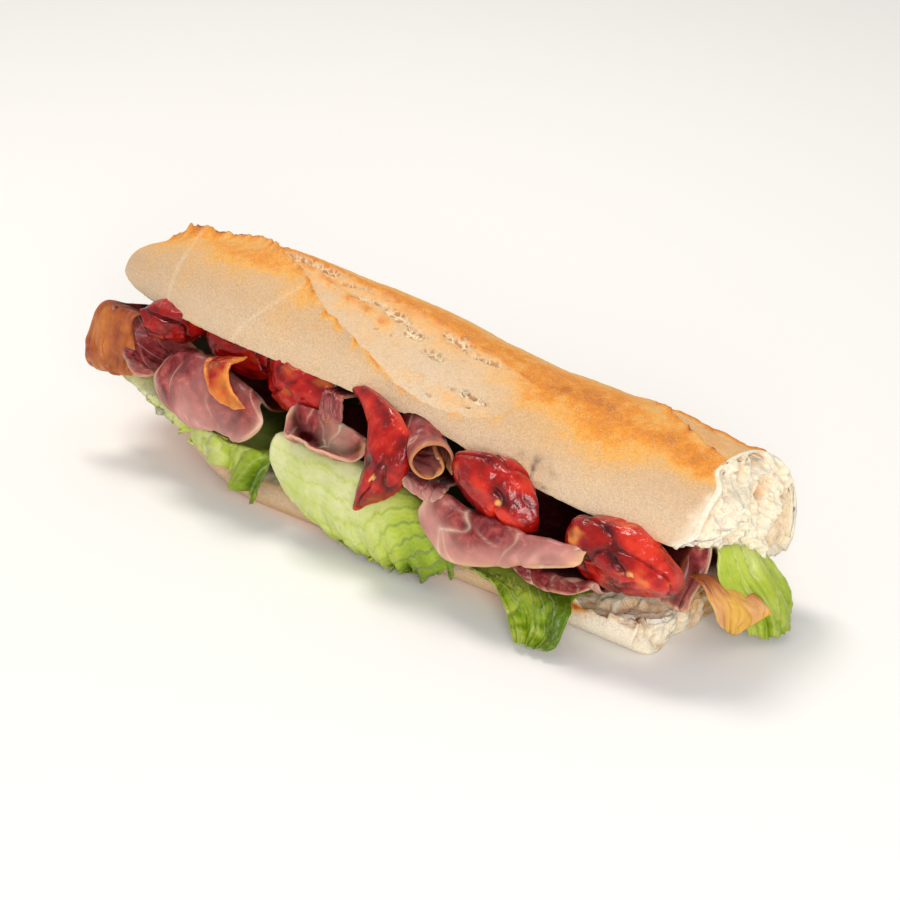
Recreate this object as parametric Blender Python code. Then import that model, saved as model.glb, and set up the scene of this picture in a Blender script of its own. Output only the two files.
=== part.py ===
"""A submarine sandwich on a piece of scored baguette, 26 cm long, laid with its open side to the front.

The two halves of the loaf gape towards the front, where lettuce leaves, folds of cured ham and soft
roasted tomatoes show. +X runs from the loaf's pointed end to its torn end, +Y to the back, +Z up, and
the origin lies under the middle of the lower half, on the face that it rests on. Sizes are in
millimetres until a mesh is made, and angles in degrees.
"""

import math

import bmesh
import bpy
import numpy as np
from mathutils.bvhtree import BVHTree

MM = 0.001
# The gap kept between two pieces that touch
CLEARANCE = 0.35
HAM_THICKNESS = 1.3
LEAF_THICKNESS = 1.2
SKIN_THICKNESS = 1.2

# The upper half: how far it reaches, its width and tilt, and where it starts to narrow to the tip
TIP_X = -130.0
TORN_X = 131.0
HALF_WIDTH = 31.0
TAPER_FROM_X = -45.0
UPPER_TAPER_POWER = 1.8
TILT = 17.5
AXIS_Y = 1.5
# How high its cut face lies over the loaf's axis, and how thick it is, at stations along X
CUT_FACE_Z = [
    (-130, 52.5), (-115, 49.5), (-87, 47), (-50, 45), (0, 43.2), (30, 41.5), (62, 35.5), (88, 32.2),
    (131, 30.7),
]
UPPER_THICKNESS = [
    (-130, 26.5), (-90, 28.5), (-50, 29), (0, 27.8), (35, 25), (65, 28.5), (95, 30.7), (131, 28),
]
# The baker's cuts in its crust, as degrees up from the front edge, and how deep and how high-lipped they are
SCORE_FRONT = [
    (-130, 120), (-118, 98), (-105, 89), (-86, 92), (-76, 91), (-56, 73), (-31, 52), (-14, 39), (2, 27),
    (14, 19), (28, 15.5), (44, 19), (56, 30), (65, 50), (75, 84), (84, 100), (95, 92), (111, 75), (133, 60),
]
SCORE_REAR = [
    (-130, 150), (-112, 132), (-98, 124), (-88, 112), (-78, 98), (-48, 88), (-16, 81), (13, 75), (39, 72),
    (52, 65), (62, 60), (70, 76), (84, 108), (95, 113), (133, 110),
]
SCORE_DEPTH = [
    (-122, 0), (-110, 2), (-96, 2.6), (-80, 0.6), (-60, 1.8), (-35, 2.4), (15, 2.2), (45, 1.5), (62, 0.3),
    (78, 0), (90, 1), (110, 2), (133, 1.5),
]
EAR_HEIGHT = [
    (-124, 0), (-112, 3.5), (-105, 5.2), (-97, 3.0), (-88, 2.6), (-78, 2.6), (-56, 1.9), (-25, 1.1),
    (20, 0.6), (60, 0.4), (78, 0), (92, 1), (112, 1.3), (133, 0.8),
]
# The crumb that hangs from its torn end
CRUMB_DROP = 5.0

# The lower half, whose pointed end curls up to the upper one
LOWER_TIP_X = -122.0
LOWER_TORN_X = 120.5
LOWER_TAPER_POWER = 1.6
BASE_HALF_WIDTH = [(-122, 28), (-20, 28), (50, 25), (121, 25)]
FRONT_RIM_Z = 10.5
REAR_RIM_Z = [(-122, 26), (0, 24.5), (30, 23), (62, 19.5), (88, 16.5), (121, 15)]
CURL_FROM_X = -42.0
CURL_HEIGHT = 31.0
TIP_MIDDLE_Z = 7.0

COLOURS = {
    "crust": ((0.72, 0.47, 0.25), 0.75),
    "ham": ((0.50, 0.16, 0.14), 0.35),
    "tomato": ((0.45, 0.03, 0.02), 0.2),
    "lettuce": ((0.33, 0.47, 0.09), 0.45),
}


def clear_scene():
    """Removes whatever the file opened with."""
    for thing in list(bpy.data.objects):
        bpy.data.objects.remove(thing)


def material(name):
    """The Principled material of that name, made once from COLOURS."""
    if name in bpy.data.materials:
        return bpy.data.materials[name]
    made = bpy.data.materials.new(name)
    made.use_nodes = True
    colour, roughness = COLOURS[name]
    shader = made.node_tree.nodes["Principled BSDF"]
    shader.inputs["Base Color"].default_value = (*colour, 1)
    shader.inputs["Roughness"].default_value = roughness
    shader.inputs["Metallic"].default_value = 0
    return made


def along(x, stations):
    """The value at x of the smooth curve through (x, value) stations, a cubic between each two."""
    at, value = np.array(stations, float).T
    slope = np.gradient(value, at)
    i = np.clip(np.searchsorted(at, x) - 1, 0, len(at) - 2)
    step = at[i + 1] - at[i]
    t = np.clip((x - at[i]) / step, 0, 1)
    level = value[i] * (1 + 2 * t) * (1 - t) ** 2 + value[i + 1] * t * t * (3 - 2 * t)
    return level + step * (slope[i] * t * (1 - t) ** 2 + slope[i + 1] * t * t * (t - 1))


def lumps(points, size, seed):
    """Smooth uneven relief, about -1 to 1: eight plane waves of about that length in seeded directions."""
    random = np.random.default_rng(seed)
    wave = random.normal(size=(8, 3))
    wave *= (2 * np.pi / size / np.linalg.norm(wave, axis=1) * random.uniform(0.7, 1.4, 8))[:, None]
    phase = random.uniform(0, 2 * np.pi, 8)
    return np.sin(points @ wave.T + phase).sum(-1) / 3.2


def taper(x, tip_x, power):
    """1 along the full loaf, falling to 0 at the pointed end on a superellipse of that power."""
    t = np.clip((TAPER_FROM_X - x) / (TAPER_FROM_X - tip_x), 0, 1)
    return (1 - t**power) ** (1 / power)


def upper_face_z(x, y):
    """The height of the upper half's cut face over (x, y)."""
    return along(x, CUT_FACE_Z) - (y - AXIS_Y) * math.tan(math.radians(TILT))


def lower_size(x):
    """How full the lower half is at x, from 1 to 0 at its tip."""
    return taper(x, LOWER_TIP_X, LOWER_TAPER_POWER)


def lower_middle_z(x):
    """The height at which the lower half's rim and base meet at its tip, as it curls up."""
    t = np.clip((CURL_FROM_X - x) / (CURL_FROM_X - LOWER_TIP_X), 0, 1)
    return TIP_MIDDLE_Z + CURL_HEIGHT * t**1.5


def lower_face_z(x, y):
    """The height of the lower half's cut face at (x, y), from its front rim up to its rear one."""
    size = lower_size(x) ** 0.8
    front = lower_middle_z(x) + (FRONT_RIM_Z - TIP_MIDDLE_Z) * size
    rear = lower_middle_z(x) + (along(x, REAR_RIM_Z) - TIP_MIDDLE_Z) * size
    across = np.clip((y / np.maximum(HALF_WIDTH * lower_size(x), 1) + 1) / 2, 0, 1)
    return front + (rear - front) * across


def solid(name, rings, look, start=None, end=None):
    """A closed body round a stack of closed rings; a point closes either end, or else the ends join up."""
    count, around = rings.shape[:2]
    corners = list((rings * MM).reshape(-1, 3))
    faces = []
    for i in range(count - 1):
        for j in range(around):
            k = (j + 1) % around
            a, b = i * around + j, i * around + k
            faces.append((a, b, b + around))
            faces.append((a, b + around, a + around))
    for point, ring, turned in ((start, 0, True), (end, count - 1, False)):
        corners.append(np.asarray(point, float) * MM)
        for j in range(around):
            a, b = ring * around + j, ring * around + (j + 1) % around
            faces.append((b, a, len(corners) - 1) if turned else (a, b, len(corners) - 1))
    return new_object(name, corners, faces, look)


def new_object(name, corners, faces, look):
    """An object with that mesh, its faces turned outward."""
    mesh = bpy.data.meshes.new(name)
    mesh.from_pydata([tuple(map(float, c)) for c in corners], [], faces)
    work = bmesh.new()
    work.from_mesh(mesh)
    bmesh.ops.recalc_face_normals(work, faces=work.faces)
    if work.calc_volume(signed=True) < 0:
        bmesh.ops.reverse_faces(work, faces=work.faces)
    work.to_mesh(mesh)
    work.free()
    mesh.materials.append(material(look))
    thing = bpy.data.objects.new(name, mesh)
    bpy.context.scene.collection.objects.link(thing)
    return thing


def bread_top():
    """The upper half of the loaf: a half-round crust with three baker's cuts, and a torn end of crumb."""
    stations = np.concatenate([
        TIP_X + 85 * np.array([0.004, 0.02, 0.05, 0.1, 0.16, 0.23, 0.31, 0.4, 0.5, 0.61, 0.72, 0.83]),
        np.linspace(-50, 112, 19), [119, 125, TORN_X],
    ])
    share_front = np.linspace(0, 1, 8)[:-1]
    share_cut = np.array([0, 0.15, 0.45, 0.75, 0.93])
    share_rear = np.linspace(0, 1, 9)
    across_face = np.linspace(0.86, -0.86, 7)
    rings = []
    for x in stations:
        low, high = along(x, SCORE_FRONT), along(x, SCORE_REAR)
        high = max(high, low + 6)
        angle = [low * share_front, low + (high - low) * share_cut, high + (180 - high) * share_rear]
        angle = np.concatenate(angle)
        depth, ear = max(along(x, SCORE_DEPTH), 0), max(along(x, EAR_HEIGHT), 0)
        inside = np.clip((angle - low) / (high - low), 0, 1)
        lip = ear * np.exp(-np.clip(low - angle, 0, 90) / 9) * (angle <= low)
        off = lip - depth * np.sin(np.pi * inside) ** 0.5
        where = np.stack([x + 0 * angle, angle * 0.54, 0 * angle], -1)
        off += 0.45 * lumps(where, 38, 3)
        size = taper(x, TIP_X - 0.2, UPPER_TAPER_POWER)
        off *= min(1, size * 2) * np.sin(np.radians(angle)) ** 0.5
        half_width, thick = HALF_WIDTH * size, along(x, UPPER_THICKNESS) * size**0.9
        across = -(half_width + off) * np.cos(np.radians(angle))
        up = (thick + off) * np.sin(np.radians(angle))
        late = np.clip((x - 112) / (TORN_X - 112), 0, 1) ** 2
        bulge = 6 * late * np.clip(angle / 12, 0, 1) * np.clip((54 - angle) / 14, 0, 1)
        face = across_face * half_width
        hang = CRUMB_DROP * late * np.clip((across_face + 0.1) * 2, 0, 1)
        hang = hang + 0.5 * lumps(np.stack([x + 0 * face, face, face], -1), 17, 5)
        across = np.concatenate([across, face])
        up = np.concatenate([up, -hang * min(1, size * 2)])
        rings.append(np.stack([np.concatenate([x + bulge, x + 0 * face]), *tilted(x, across, up)], -1))
    last = rings[-1]
    middle = last.mean(0)
    for share, out in ((0.9, -1.5), (0.6, 0.5), (0.3, -1)):
        ring = middle + (last - middle) * share
        ring[:, 0] = TORN_X + out + (last[:, 0] - TORN_X) * share**2 + 1.2 * lumps(ring, 13, 8)
        rings.append(ring)
    tip = (TIP_X, *tilted(TIP_X, 0, 0.5))
    return solid("bread_top", np.array(rings), "crust", tip, (TORN_X, *middle[1:]))


def tilted(x, across, up):
    """Y and Z of a point of the upper half, from its place in the half's own tilted section at x."""
    tilt = math.radians(TILT)
    y = AXIS_Y + across * math.cos(tilt) + up * math.sin(tilt)
    z = along(x, CUT_FACE_Z) - across * math.sin(tilt) + up * math.cos(tilt)
    return y, z


def bread_bottom():
    """The lower half of the loaf: a flat base, low rounded sides and a rough cut face on top."""
    stations = np.concatenate([
        LOWER_TIP_X + 77 * np.array([0.01, 0.04, 0.09, 0.16, 0.25, 0.35, 0.47, 0.6, 0.75, 0.9]),
        np.linspace(-42, 112, 14), [LOWER_TORN_X],
    ])
    rings = []
    for x in stations:
        size = lower_size(x)
        middle, thick = lower_middle_z(x), size**0.8
        half, base = HALF_WIDTH * size, along(x, BASE_HALF_WIDTH) * size
        base_z = middle - TIP_MIDDLE_Z * thick
        front, rear = lower_face_z(x, -half), lower_face_z(x, half)
        side = np.array([1, 0.55, 0.15])
        sides = np.array([half, half + 0.6 * size, base + 1.6 * size])
        ys = np.concatenate([-sides, np.linspace(-base, base, 6), sides[::-1]])
        flat = np.full(6, base_z)
        zs = np.concatenate([base_z + (front - base_z) * side, flat, base_z + (rear - base_z) * side[::-1]])
        face = np.linspace(0.9, -0.9, 7) * half
        rough = 0.5 * lumps(np.stack([x + 0 * face, face, face], -1), 19, 11) * min(1, 2 * size)
        ys = np.concatenate([ys, face])
        zs = np.concatenate([zs, lower_face_z(x, face) - 0.6 * thick + rough])
        rings.append(np.stack([x + 0 * ys, ys, zs], -1))
    last = rings[-1]
    middle = last.mean(0)
    for share, out in ((0.8, -1.2), (0.45, -0.2)):
        ring = middle + (last - middle) * share
        ring[:, 0] = LOWER_TORN_X + out + 0.8 * lumps(ring, 11, 14)
        rings.append(ring)
    tip = (LOWER_TIP_X, 0, lower_middle_z(LOWER_TIP_X))
    return solid("bread_bottom", np.array(rings), "crust", tip, (LOWER_TORN_X, *middle[1:]))


def inner(start, end):
    """A sheet's row inside the loaf: each end is (x, y, share of the way from lower face to upper)."""
    def row(u):
        x, y, share = (np.array(start)[:, None] * (1 - u) + np.array(end)[:, None] * u)
        low = lower_face_z(x, y) + LEAF_THICKNESS
        high = upper_face_z(x, y) - HAM_THICKNESS
        return np.stack([x, y, low + (high - low) * share], -1)
    return row


def outer(start, end, bow=(0, 0, 0)):
    """A sheet's row outside: a line between two points, bowed at its middle."""
    def row(u):
        line = np.outer(1 - u, start) + np.outer(u, end)
        return line + np.outer(4 * u * (1 - u), bow)
    return row


def sheet(name, rows, look, thick, size=(10, 8), ripple=(0, 1, 0), seed=1):
    """A thin closed slice through its rows, curved smoothly from row to row and rippled towards the last."""
    across, down = size
    u = np.linspace(0, 1, across + 1)
    nets = np.array([row(u) for row in rows])
    at = np.linspace(0, 1, len(rows))
    v = np.linspace(0, 1, down + 1)
    slope = np.gradient(nets, at, axis=0)
    i = np.clip(np.searchsorted(at, v) - 1, 0, len(at) - 2)
    step = at[1]
    t = ((v - at[i]) / step)[:, None, None]
    grid = nets[i] * (1 + 2 * t) * (1 - t) ** 2 + nets[i + 1] * t * t * (3 - 2 * t)
    grid = grid + step * (slope[i] * t * (1 - t) ** 2 + slope[i + 1] * t * t * (t - 1))
    normal = np.cross(np.gradient(grid, axis=1), np.gradient(grid, axis=0))
    normal /= np.maximum(np.linalg.norm(normal, axis=-1, keepdims=True), 1e-9)
    height, waves, phase = ripple
    wave = height * v[:, None] ** 2 * np.sin(2 * np.pi * waves * u[None] + phase + 2 * v[:, None])
    wave = wave + 0.25 * min(1, height) * lumps(grid, 14, seed)
    grid = grid + normal * wave[..., None]
    normal = np.cross(np.gradient(grid, axis=1), np.gradient(grid, axis=0))
    normal /= np.maximum(np.linalg.norm(normal, axis=-1, keepdims=True), 1e-9)
    sides = np.stack([grid + normal * thick / 2, grid - normal * thick / 2])
    return two_faced(name, sides, look)


def two_faced(name, sides, look):
    """A closed body between two grids of the same size, split into triangles alike."""
    rows, columns = sides.shape[1:3]
    number = np.arange(2 * rows * columns).reshape(2, rows, columns)
    faces = []
    for i in range(rows - 1):
        for j in range(columns - 1):
            for side, turn in ((0, 1), (1, -1)):
                a, b = number[side, i, j], number[side, i, j + 1]
                c, d = number[side, i + 1, j + 1], number[side, i + 1, j]
                faces.append((a, b, c)[::turn])
                faces.append((a, c, d)[::turn])
    rim = [(0, j) for j in range(columns)] + [(i, columns - 1) for i in range(1, rows)]
    rim += [(rows - 1, j) for j in range(columns - 2, -1, -1)] + [(i, 0) for i in range(rows - 2, 0, -1)]
    for k in range(len(rim)):
        a, b = rim[k], rim[(k + 1) % len(rim)]
        faces.append((number[0][a], number[1][a], number[1][b]))
        faces.append((number[0][a], number[1][b], number[0][b]))
    return new_object(name, sides.reshape(-1, 3) * MM, [tuple(int(n) for n in f) for f in faces], look)


def roll(name, start, end, radius, turn, look, thick, size=(16, 6)):
    """A slice rolled into a tube about the line from start to end, growing by 1.5 thicknesses a turn."""
    around, length = size
    start, end = np.array(start, float), np.array(end, float)
    axis = (end - start) / np.linalg.norm(end - start)
    side = np.cross(axis, (0, 0, 1))
    side /= np.linalg.norm(side)
    over = np.cross(side, axis)
    angle = np.radians(np.linspace(*turn, around + 1))
    v = np.linspace(0, 1, length + 1)[:, None]
    centre = start + (end - start) * v
    grown = radius[0] + (radius[1] - radius[0]) * v + 1.5 * thick * (angle - angle[0]) / (2 * np.pi)
    out = np.cos(angle)[:, None] * side + np.sin(angle)[:, None] * over
    sides = [centre[:, None] + (grown + shift)[..., None] * out for shift in (-thick / 2, thick / 2)]
    return two_faced(name, np.array(sides), look)


def lump(name, centre, radii, axis, relief, look, size=(16, 11), seed=1, bend=0):
    """A soft roasted piece: a wrinkled ellipsoid, long along axis, its two ends bent aside by bend."""
    around, rings = size
    axis = np.array(axis, float) / np.linalg.norm(axis)
    side = np.cross(axis, (0, 1, 0))
    side /= np.linalg.norm(side)
    deep = np.cross(side, axis)
    polar = np.radians(np.linspace(0, 180, rings + 2))[1:-1, None]
    turn = np.radians(np.arange(around) * 360 / around)[None]
    ring = np.sin(polar)
    unit = np.stack([np.cos(polar) + 0 * turn, ring * np.cos(turn), ring * np.sin(turn)], -1)
    shape = np.sign(unit) * np.abs(unit) ** 0.85 * np.array(radii)
    shape *= 1 + (relief * lumps(shape, 15, seed) / max(radii))[..., None]
    shape[..., 1] += bend * (shape[..., 0] / radii[0]) ** 2
    frame = np.stack([axis, side, deep])
    points = np.array(centre) + shape @ frame
    ends = [np.array(centre) + np.array([s * radii[0], bend, 0]) @ frame for s in (1, -1)]
    return solid(name, points, look, *ends)


def surface_tree(thing):
    """A search tree over an object's triangles."""
    mesh = thing.data
    return BVHTree.FromPolygons([v.co for v in mesh.vertices], [tuple(p.vertices) for p in mesh.polygons])


def part_from(thing, other):
    """Cuts the other piece out of this one, a little wider each time for as long as they still meet."""
    for gap in (CLEARANCE, 1.5 * CLEARANCE, 2 * CLEARANCE):
        cut_away(thing, other, gap)
        if not surface_tree(thing).overlap(surface_tree(other)):
            return


def cut_away(thing, other, gap):
    """Takes the other piece, grown by the gap, out of this one, and keeps the largest body left."""
    grown = other.copy()
    grown.data = other.data.copy()
    bpy.context.scene.collection.objects.link(grown)
    normals = [tuple(v.normal) for v in grown.data.vertices]
    for vertex, normal in zip(grown.data.vertices, normals):
        vertex.co = [c + n * gap * MM for c, n in zip(vertex.co, normal)]
    if not surface_tree(thing).overlap(surface_tree(grown)):
        bpy.data.objects.remove(grown)
        return
    cut = thing.modifiers.new("cut", "BOOLEAN")
    cut.operation = "DIFFERENCE"
    cut.solver = "MANIFOLD"
    cut.object = grown
    view = bpy.context.evaluated_depsgraph_get()
    mesh = bpy.data.meshes.new_from_object(thing.evaluated_get(view))
    thing.modifiers.clear()
    bpy.data.objects.remove(grown)
    thing.data = mesh
    keep_largest(mesh)


def keep_largest(mesh):
    """Leaves only the body with the largest volume, in triangles without slivers."""
    work = bmesh.new()
    work.from_mesh(mesh)
    bmesh.ops.remove_doubles(work, verts=work.verts, dist=0.002 * MM)
    bmesh.ops.triangulate(work, faces=work.faces)
    bmesh.ops.dissolve_degenerate(work, edges=work.edges, dist=0.002 * MM)
    bmesh.ops.triangulate(work, faces=work.faces)
    seen, bodies = set(), []
    for first in work.faces:
        if first in seen:
            continue
        body, found = {first}, [first]
        while found:
            for edge in found.pop().edges:
                for face in edge.link_faces:
                    if face not in body:
                        body.add(face)
                        found.append(face)
        seen |= body
        bodies.append(body)
    bodies.sort(key=len, reverse=True)
    for body in bodies[1:]:
        bmesh.ops.delete(work, geom=list(body), context="FACES")
    work.to_mesh(mesh)
    work.free()


def lettuce():
    """Four leaves: each lies on the lower half's cut face and hangs out over its rim or its torn end."""
    leaves = [
        sheet("lettuce_left", [
            inner((-96, 15, 0.03), (-36, 23, 0.03)),
            inner((-104, -9, 0.03), (-34, -14, 0.03)),
            outer((-110, -19, 31), (-29, -33, 24), (8, -6, -5)),
            outer((-112, -24, 27), (-26, -38, 22), (0, -3, 0)),
            outer((-108, -26, 24.5), (-35, -39, 3), (2, -2, 5)),
        ], "lettuce", LEAF_THICKNESS, (16, 9), (0.8, 3, 0), 21),
        sheet("lettuce_middle", [
            inner((-24, 23, 0.03), (48, 23, 0.03)),
            inner((-25, -16, 0.1), (50, -16, 0.05)),
            outer((-26, -32, 31), (50, -33, 22), (0, 0, 5)),
            outer((-25, -38, 24), (53, -38, 19), (0, -3, 2)),
            outer((-17, -38, 13), (54, -38, 10), (0, -3, -3)),
            outer((-8, -37, 7.5), (50, -36, 6), (0, -1, -4)),
        ], "lettuce", LEAF_THICKNESS, (14, 11), (0.3, 2, 0), 22),
        sheet("lettuce_front", [
            inner((56, 23, 0.03), (112, 23, 0.03)),
            inner((53, -16, 0.03), (112, -16, 0.03)),
            outer((51, -34, 13), (109, -33, 15)),
            outer((70, -39, 13), (109, -40, 14), (0, -2, 0)),
            outer((81, -45, 8), (105, -45, 7)),
            outer((88, -50, 1.5), (97, -48.5, 2)),
        ], "lettuce", LEAF_THICKNESS, (14, 10), (1.6, 4, 1), 23),
        sheet("lettuce_end", [
            inner((98, 0, 0.8), (98, 20, 0.8)),
            inner((118, -6, 0.75), (118, 22, 0.72)),
            outer((128, -5, 31), (131, 14, 24), (1, 0, 1)),
            outer((131, -7, 22), (136, 19.5, 14.5), (3, 0, 2)),
            outer((136, -1, 9), (139, 20, 7), (5, -1, 1)),
            outer((139, 0.5, 1.3), (140, 17.5, 1.3), (6, -3, 0)),
        ], "lettuce", LEAF_THICKNESS, (9, 9), (1.0, 2, 0), 24),
    ]
    return leaves


def ham():
    """Eleven thin slices, each folded or rolled where it leaves the loaf."""
    return [
        sheet("ham_tip", [
            inner((-104, 7, 0.45), (-90, 10, 0.45)),
            outer((-109, -19, 49), (-93, -20, 50)),
            outer((-113, -28, 51), (-97, -28, 51), (0, -2, 1)),
            outer((-119, -31, 38), (-97, -29.5, 41), (0, -3, 0)),
            outer((-118, -32, 31), (-95, -30.5, 33), (0, -3, 0)),
            outer((-112, -29, 28.5), (-95, -29, 30)),
        ], "ham", HAM_THICKNESS, (8, 10), (0.3, 1, 0), 31),
        sheet("ham_band", [
            outer((-106, -31, 54), (-90, -15, 46)),
            outer((-105, -32, 46), (-90, -14, 43), (0, 0, -2)),
            outer((-100, -33, 39), (-82, -14, 39), (0, 0, -1)),
            outer((-94, -34, 34), (-76, -14, 38)),
            outer((-87, -34, 31), (-72, -14, 38), (0, 0, 2)),
        ], "ham", HAM_THICKNESS, (10, 8), (0, 1, 0), 32),
        sheet("ham_drape", [
            inner((-70, 20, 0.42), (-40, 22, 0.4)),
            inner((-72, -18, 0.5), (-38, -18, 0.45)),
            outer((-75, -31, 44), (-36, -31, 38), (0, 0, 6)),
            outer((-80, -36, 37), (-30, -36, 35), (0, -2, 2)),
            outer((-74, -38, 30), (-33, -38, 30), (0, -2, -1)),
            outer((-64, -38, 26), (-42, -38, 27), (0, 0, -1)),
        ], "ham", HAM_THICKNESS, (10, 10), (0.4, 2, 0), 33),
        sheet("ham_petal", [
            inner((-17, 22, 0.42), (9, 22, 0.42)),
            outer((-18, -24, 38), (10, -24, 36)),
            outer((-20, -31, 43), (12, -31, 38.5), (0, 0, 2)),
            outer((-20, -34.5, 40), (13, -34, 36.5)),
            outer((-21, -38, 35.5), (13, -37, 34), (0, -1, 0)),
            outer((-22, -42, 39.5), (12, -40.5, 35.5), (0, -1, 0)),
        ], "ham", HAM_THICKNESS, (9, 13), (0, 1, 0), 34),
        sheet("ham_fold", [
            inner((-8, 8, 0.85), (-1, 8, 0.85)),
            outer((-9, -24, 49), (-1, -24, 49)),
            outer((-8, -31, 48), (0, -30, 49)),
            outer((-7, -33.5, 41), (3, -32, 41)),
        ], "ham", HAM_THICKNESS, (4, 8), (0, 1, 0), 35),
        roll("ham_tube", (22, -21, 46.5), (46, -39.5, 44.5), (5.2, 5.6), (200, 575), "ham", HAM_THICKNESS),
        sheet("ham_point", [
            inner((30, 21, 0.42), (44, 21, 0.42)),
            outer((30, -24, 33.5), (46, -24, 33)),
            outer((29, -36, 37), (49, -36, 36), (0, 0, -1)),
            outer((34, -40, 36), (51, -39, 35)),
            outer((41, -40.5, 32.5), (49, -40, 32.5)),
        ], "ham", HAM_THICKNESS, (6, 8), (0, 1, 0), 36),
        sheet("ham_wide", [
            inner((54, 22, 0.3), (98, 22, 0.3)),
            inner((52, -18, 0.35), (100, -18, 0.3)),
            outer((46, -31, 30), (104, -30, 26), (0, 0, -4)),
            outer((44, -38.5, 36), (106, -37, 35.5), (0, -1, -3)),
            outer((42.5, -43.5, 28), (105, -40, 31), (0, -2, -2)),
            outer((45, -43.5, 17), (99, -41, 27), (0, -1, -3)),
        ], "ham", HAM_THICKNESS, (12, 8), (0.3, 3, 0), 37),
        sheet("ham_under", [
            inner((76, 4, 0.12), (102, 4, 0.12)),
            outer((75, -26, 17), (106, -26, 17)),
            outer((74, -36, 21), (107, -35, 23), (0, 0, -1)),
            outer((82, -38.5, 16), (104, -37, 19), (0, -1, -1)),
        ], "ham", HAM_THICKNESS, (8, 8), (0, 1, 0), 38),
        sheet("ham_end", [
            outer((106, -19.5, 17), (126, -21, 22)),
            outer((106, -19.5, 22), (127, -20, 30)),
            outer((106, -14, 25), (127, -12, 37)),
            outer((106, -8.5, 22), (127, -5, 32)),
            outer((106, -9, 17), (127, -7, 23)),
            outer((106, -12, 14.5), (127, -14, 16)),
            outer((106, -15, 13.5), (127, -18, 12)),
        ], "ham", HAM_THICKNESS, (5, 14), (0, 1, 0), 39),
        sheet("ham_tan", [
            inner((104, -1, 0.35), (104, 18, 0.35)),
            inner((117, -6, 0.3), (117, 12, 0.3)),
            outer((127.5, -13, 23), (131, 3, 18)),
            outer((133, -11, 14), (142, 3, 13)),
            outer((133, -8, 5), (143, 2, 9), (-1, 0, -3)),
        ], "ham", HAM_THICKNESS, (9, 9), (0.6, 2, 0), 40),
    ]


def tomatoes():
    """Five soft roasted pieces and a peeled strip of skin, lying over the ham."""
    return [
        lump("tomato_tip", (-86.5, -21, 50.5), (12.5, 8, 7.5), (1, 0.1, 0), 1.0, "tomato", (14, 9), 51),
        lump("tomato_dark", (-59, -17, 46.5), (15, 7.5, 5), (1, 0, -0.12), 1.0, "tomato", (12, 8), 52),
        lump("tomato_red", (-23, -25, 46.5), (14, 8.5, 7), (1, 0, -0.1), 1.2, "tomato", (14, 9), 53),
        lump("tomato_long", (25, -35.8, 45.5), (20, 8, 5), (9.5, -8.3, -15.2), 0.9, "tomato", (14, 9), 54, -12),
        lump("tomato_bright", (67, -31.5, 40.5), (17.5, 9, 7.5), (1, 0, -0.4), 0.9, "tomato", (14, 9), 55),
        lump("tomato_torn", (113, -29.5, 32.5), (19, 11, 8), (1, 0.05, -0.05), 1.1, "tomato", (16, 11), 56),
        sheet("tomato_skin", [
            outer((-58, -29, 47.5), (-45, -27, 50)),
            outer((-57, -35, 48), (-45, -35, 50)),
            outer((-52, -40, 45.5), (-41, -39, 45)),
            outer((-47, -41.5, 40.5), (-30, -41, 39), (0, -1, -2)),
        ], "tomato", SKIN_THICKNESS, (6, 7), (0, 1, 0), 57),
    ]


def main():
    clear_scene()
    pieces = [bread_top(), bread_bottom()]
    for piece in ham() + lettuce() + tomatoes():
        for other in pieces:
            part_from(piece, other)
        pieces.append(piece)


main()
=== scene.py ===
"""The looks of a submarine sandwich: a scored baguette that gapes over lettuce, cured ham and tomato.

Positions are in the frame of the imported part, in millimetres until a mesh is made: +X from the loaf's
pointed end to its torn end, -Y towards the viewer, +Z up from the face it rests on. Angles are in degrees.
"""
import math

import bpy
import mathutils
import numpy as np
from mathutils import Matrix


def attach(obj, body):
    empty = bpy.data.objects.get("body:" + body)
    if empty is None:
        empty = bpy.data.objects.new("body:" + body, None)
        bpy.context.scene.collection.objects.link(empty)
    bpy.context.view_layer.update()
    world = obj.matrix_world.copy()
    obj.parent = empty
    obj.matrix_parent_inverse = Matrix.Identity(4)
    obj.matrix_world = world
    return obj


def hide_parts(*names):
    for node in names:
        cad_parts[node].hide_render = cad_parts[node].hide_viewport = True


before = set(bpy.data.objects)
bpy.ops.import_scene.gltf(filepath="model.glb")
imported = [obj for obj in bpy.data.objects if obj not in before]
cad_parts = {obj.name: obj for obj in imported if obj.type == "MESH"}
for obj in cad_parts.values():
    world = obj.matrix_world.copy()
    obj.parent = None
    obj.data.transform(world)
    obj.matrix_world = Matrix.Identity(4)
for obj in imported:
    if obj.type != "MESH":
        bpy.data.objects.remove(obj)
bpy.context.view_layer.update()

# The upper half's crust
# Baked wheat crust about 1 mm thick: matt and pale where it was dusted with flour, toasted on top and
# on the lips of the baker's cuts, where the crumb burst open in the oven. Its lower edge was cut by knife.


def along(x, stations):
    """The value at x of the smooth curve through (x, value) stations, a cubic between each two."""
    at, value = np.array(stations, float).T
    slope = np.gradient(value, at)
    i = np.clip(np.searchsorted(at, x) - 1, 0, len(at) - 2)
    step = at[i + 1] - at[i]
    t = np.clip((x - at[i]) / step, 0, 1)
    level = value[i] * (1 + 2 * t) * (1 - t) ** 2 + value[i + 1] * t * t * (3 - 2 * t)
    return level + step * (slope[i] * t * (1 - t) ** 2 + slope[i + 1] * t * t * (t - 1))


def smooth(x, low, high):
    """0 below low, 1 above high, and an S-shaped step between them."""
    t = np.clip((x - low) / (high - low), 0, 1)
    return t * t * (3 - 2 * t)


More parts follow.
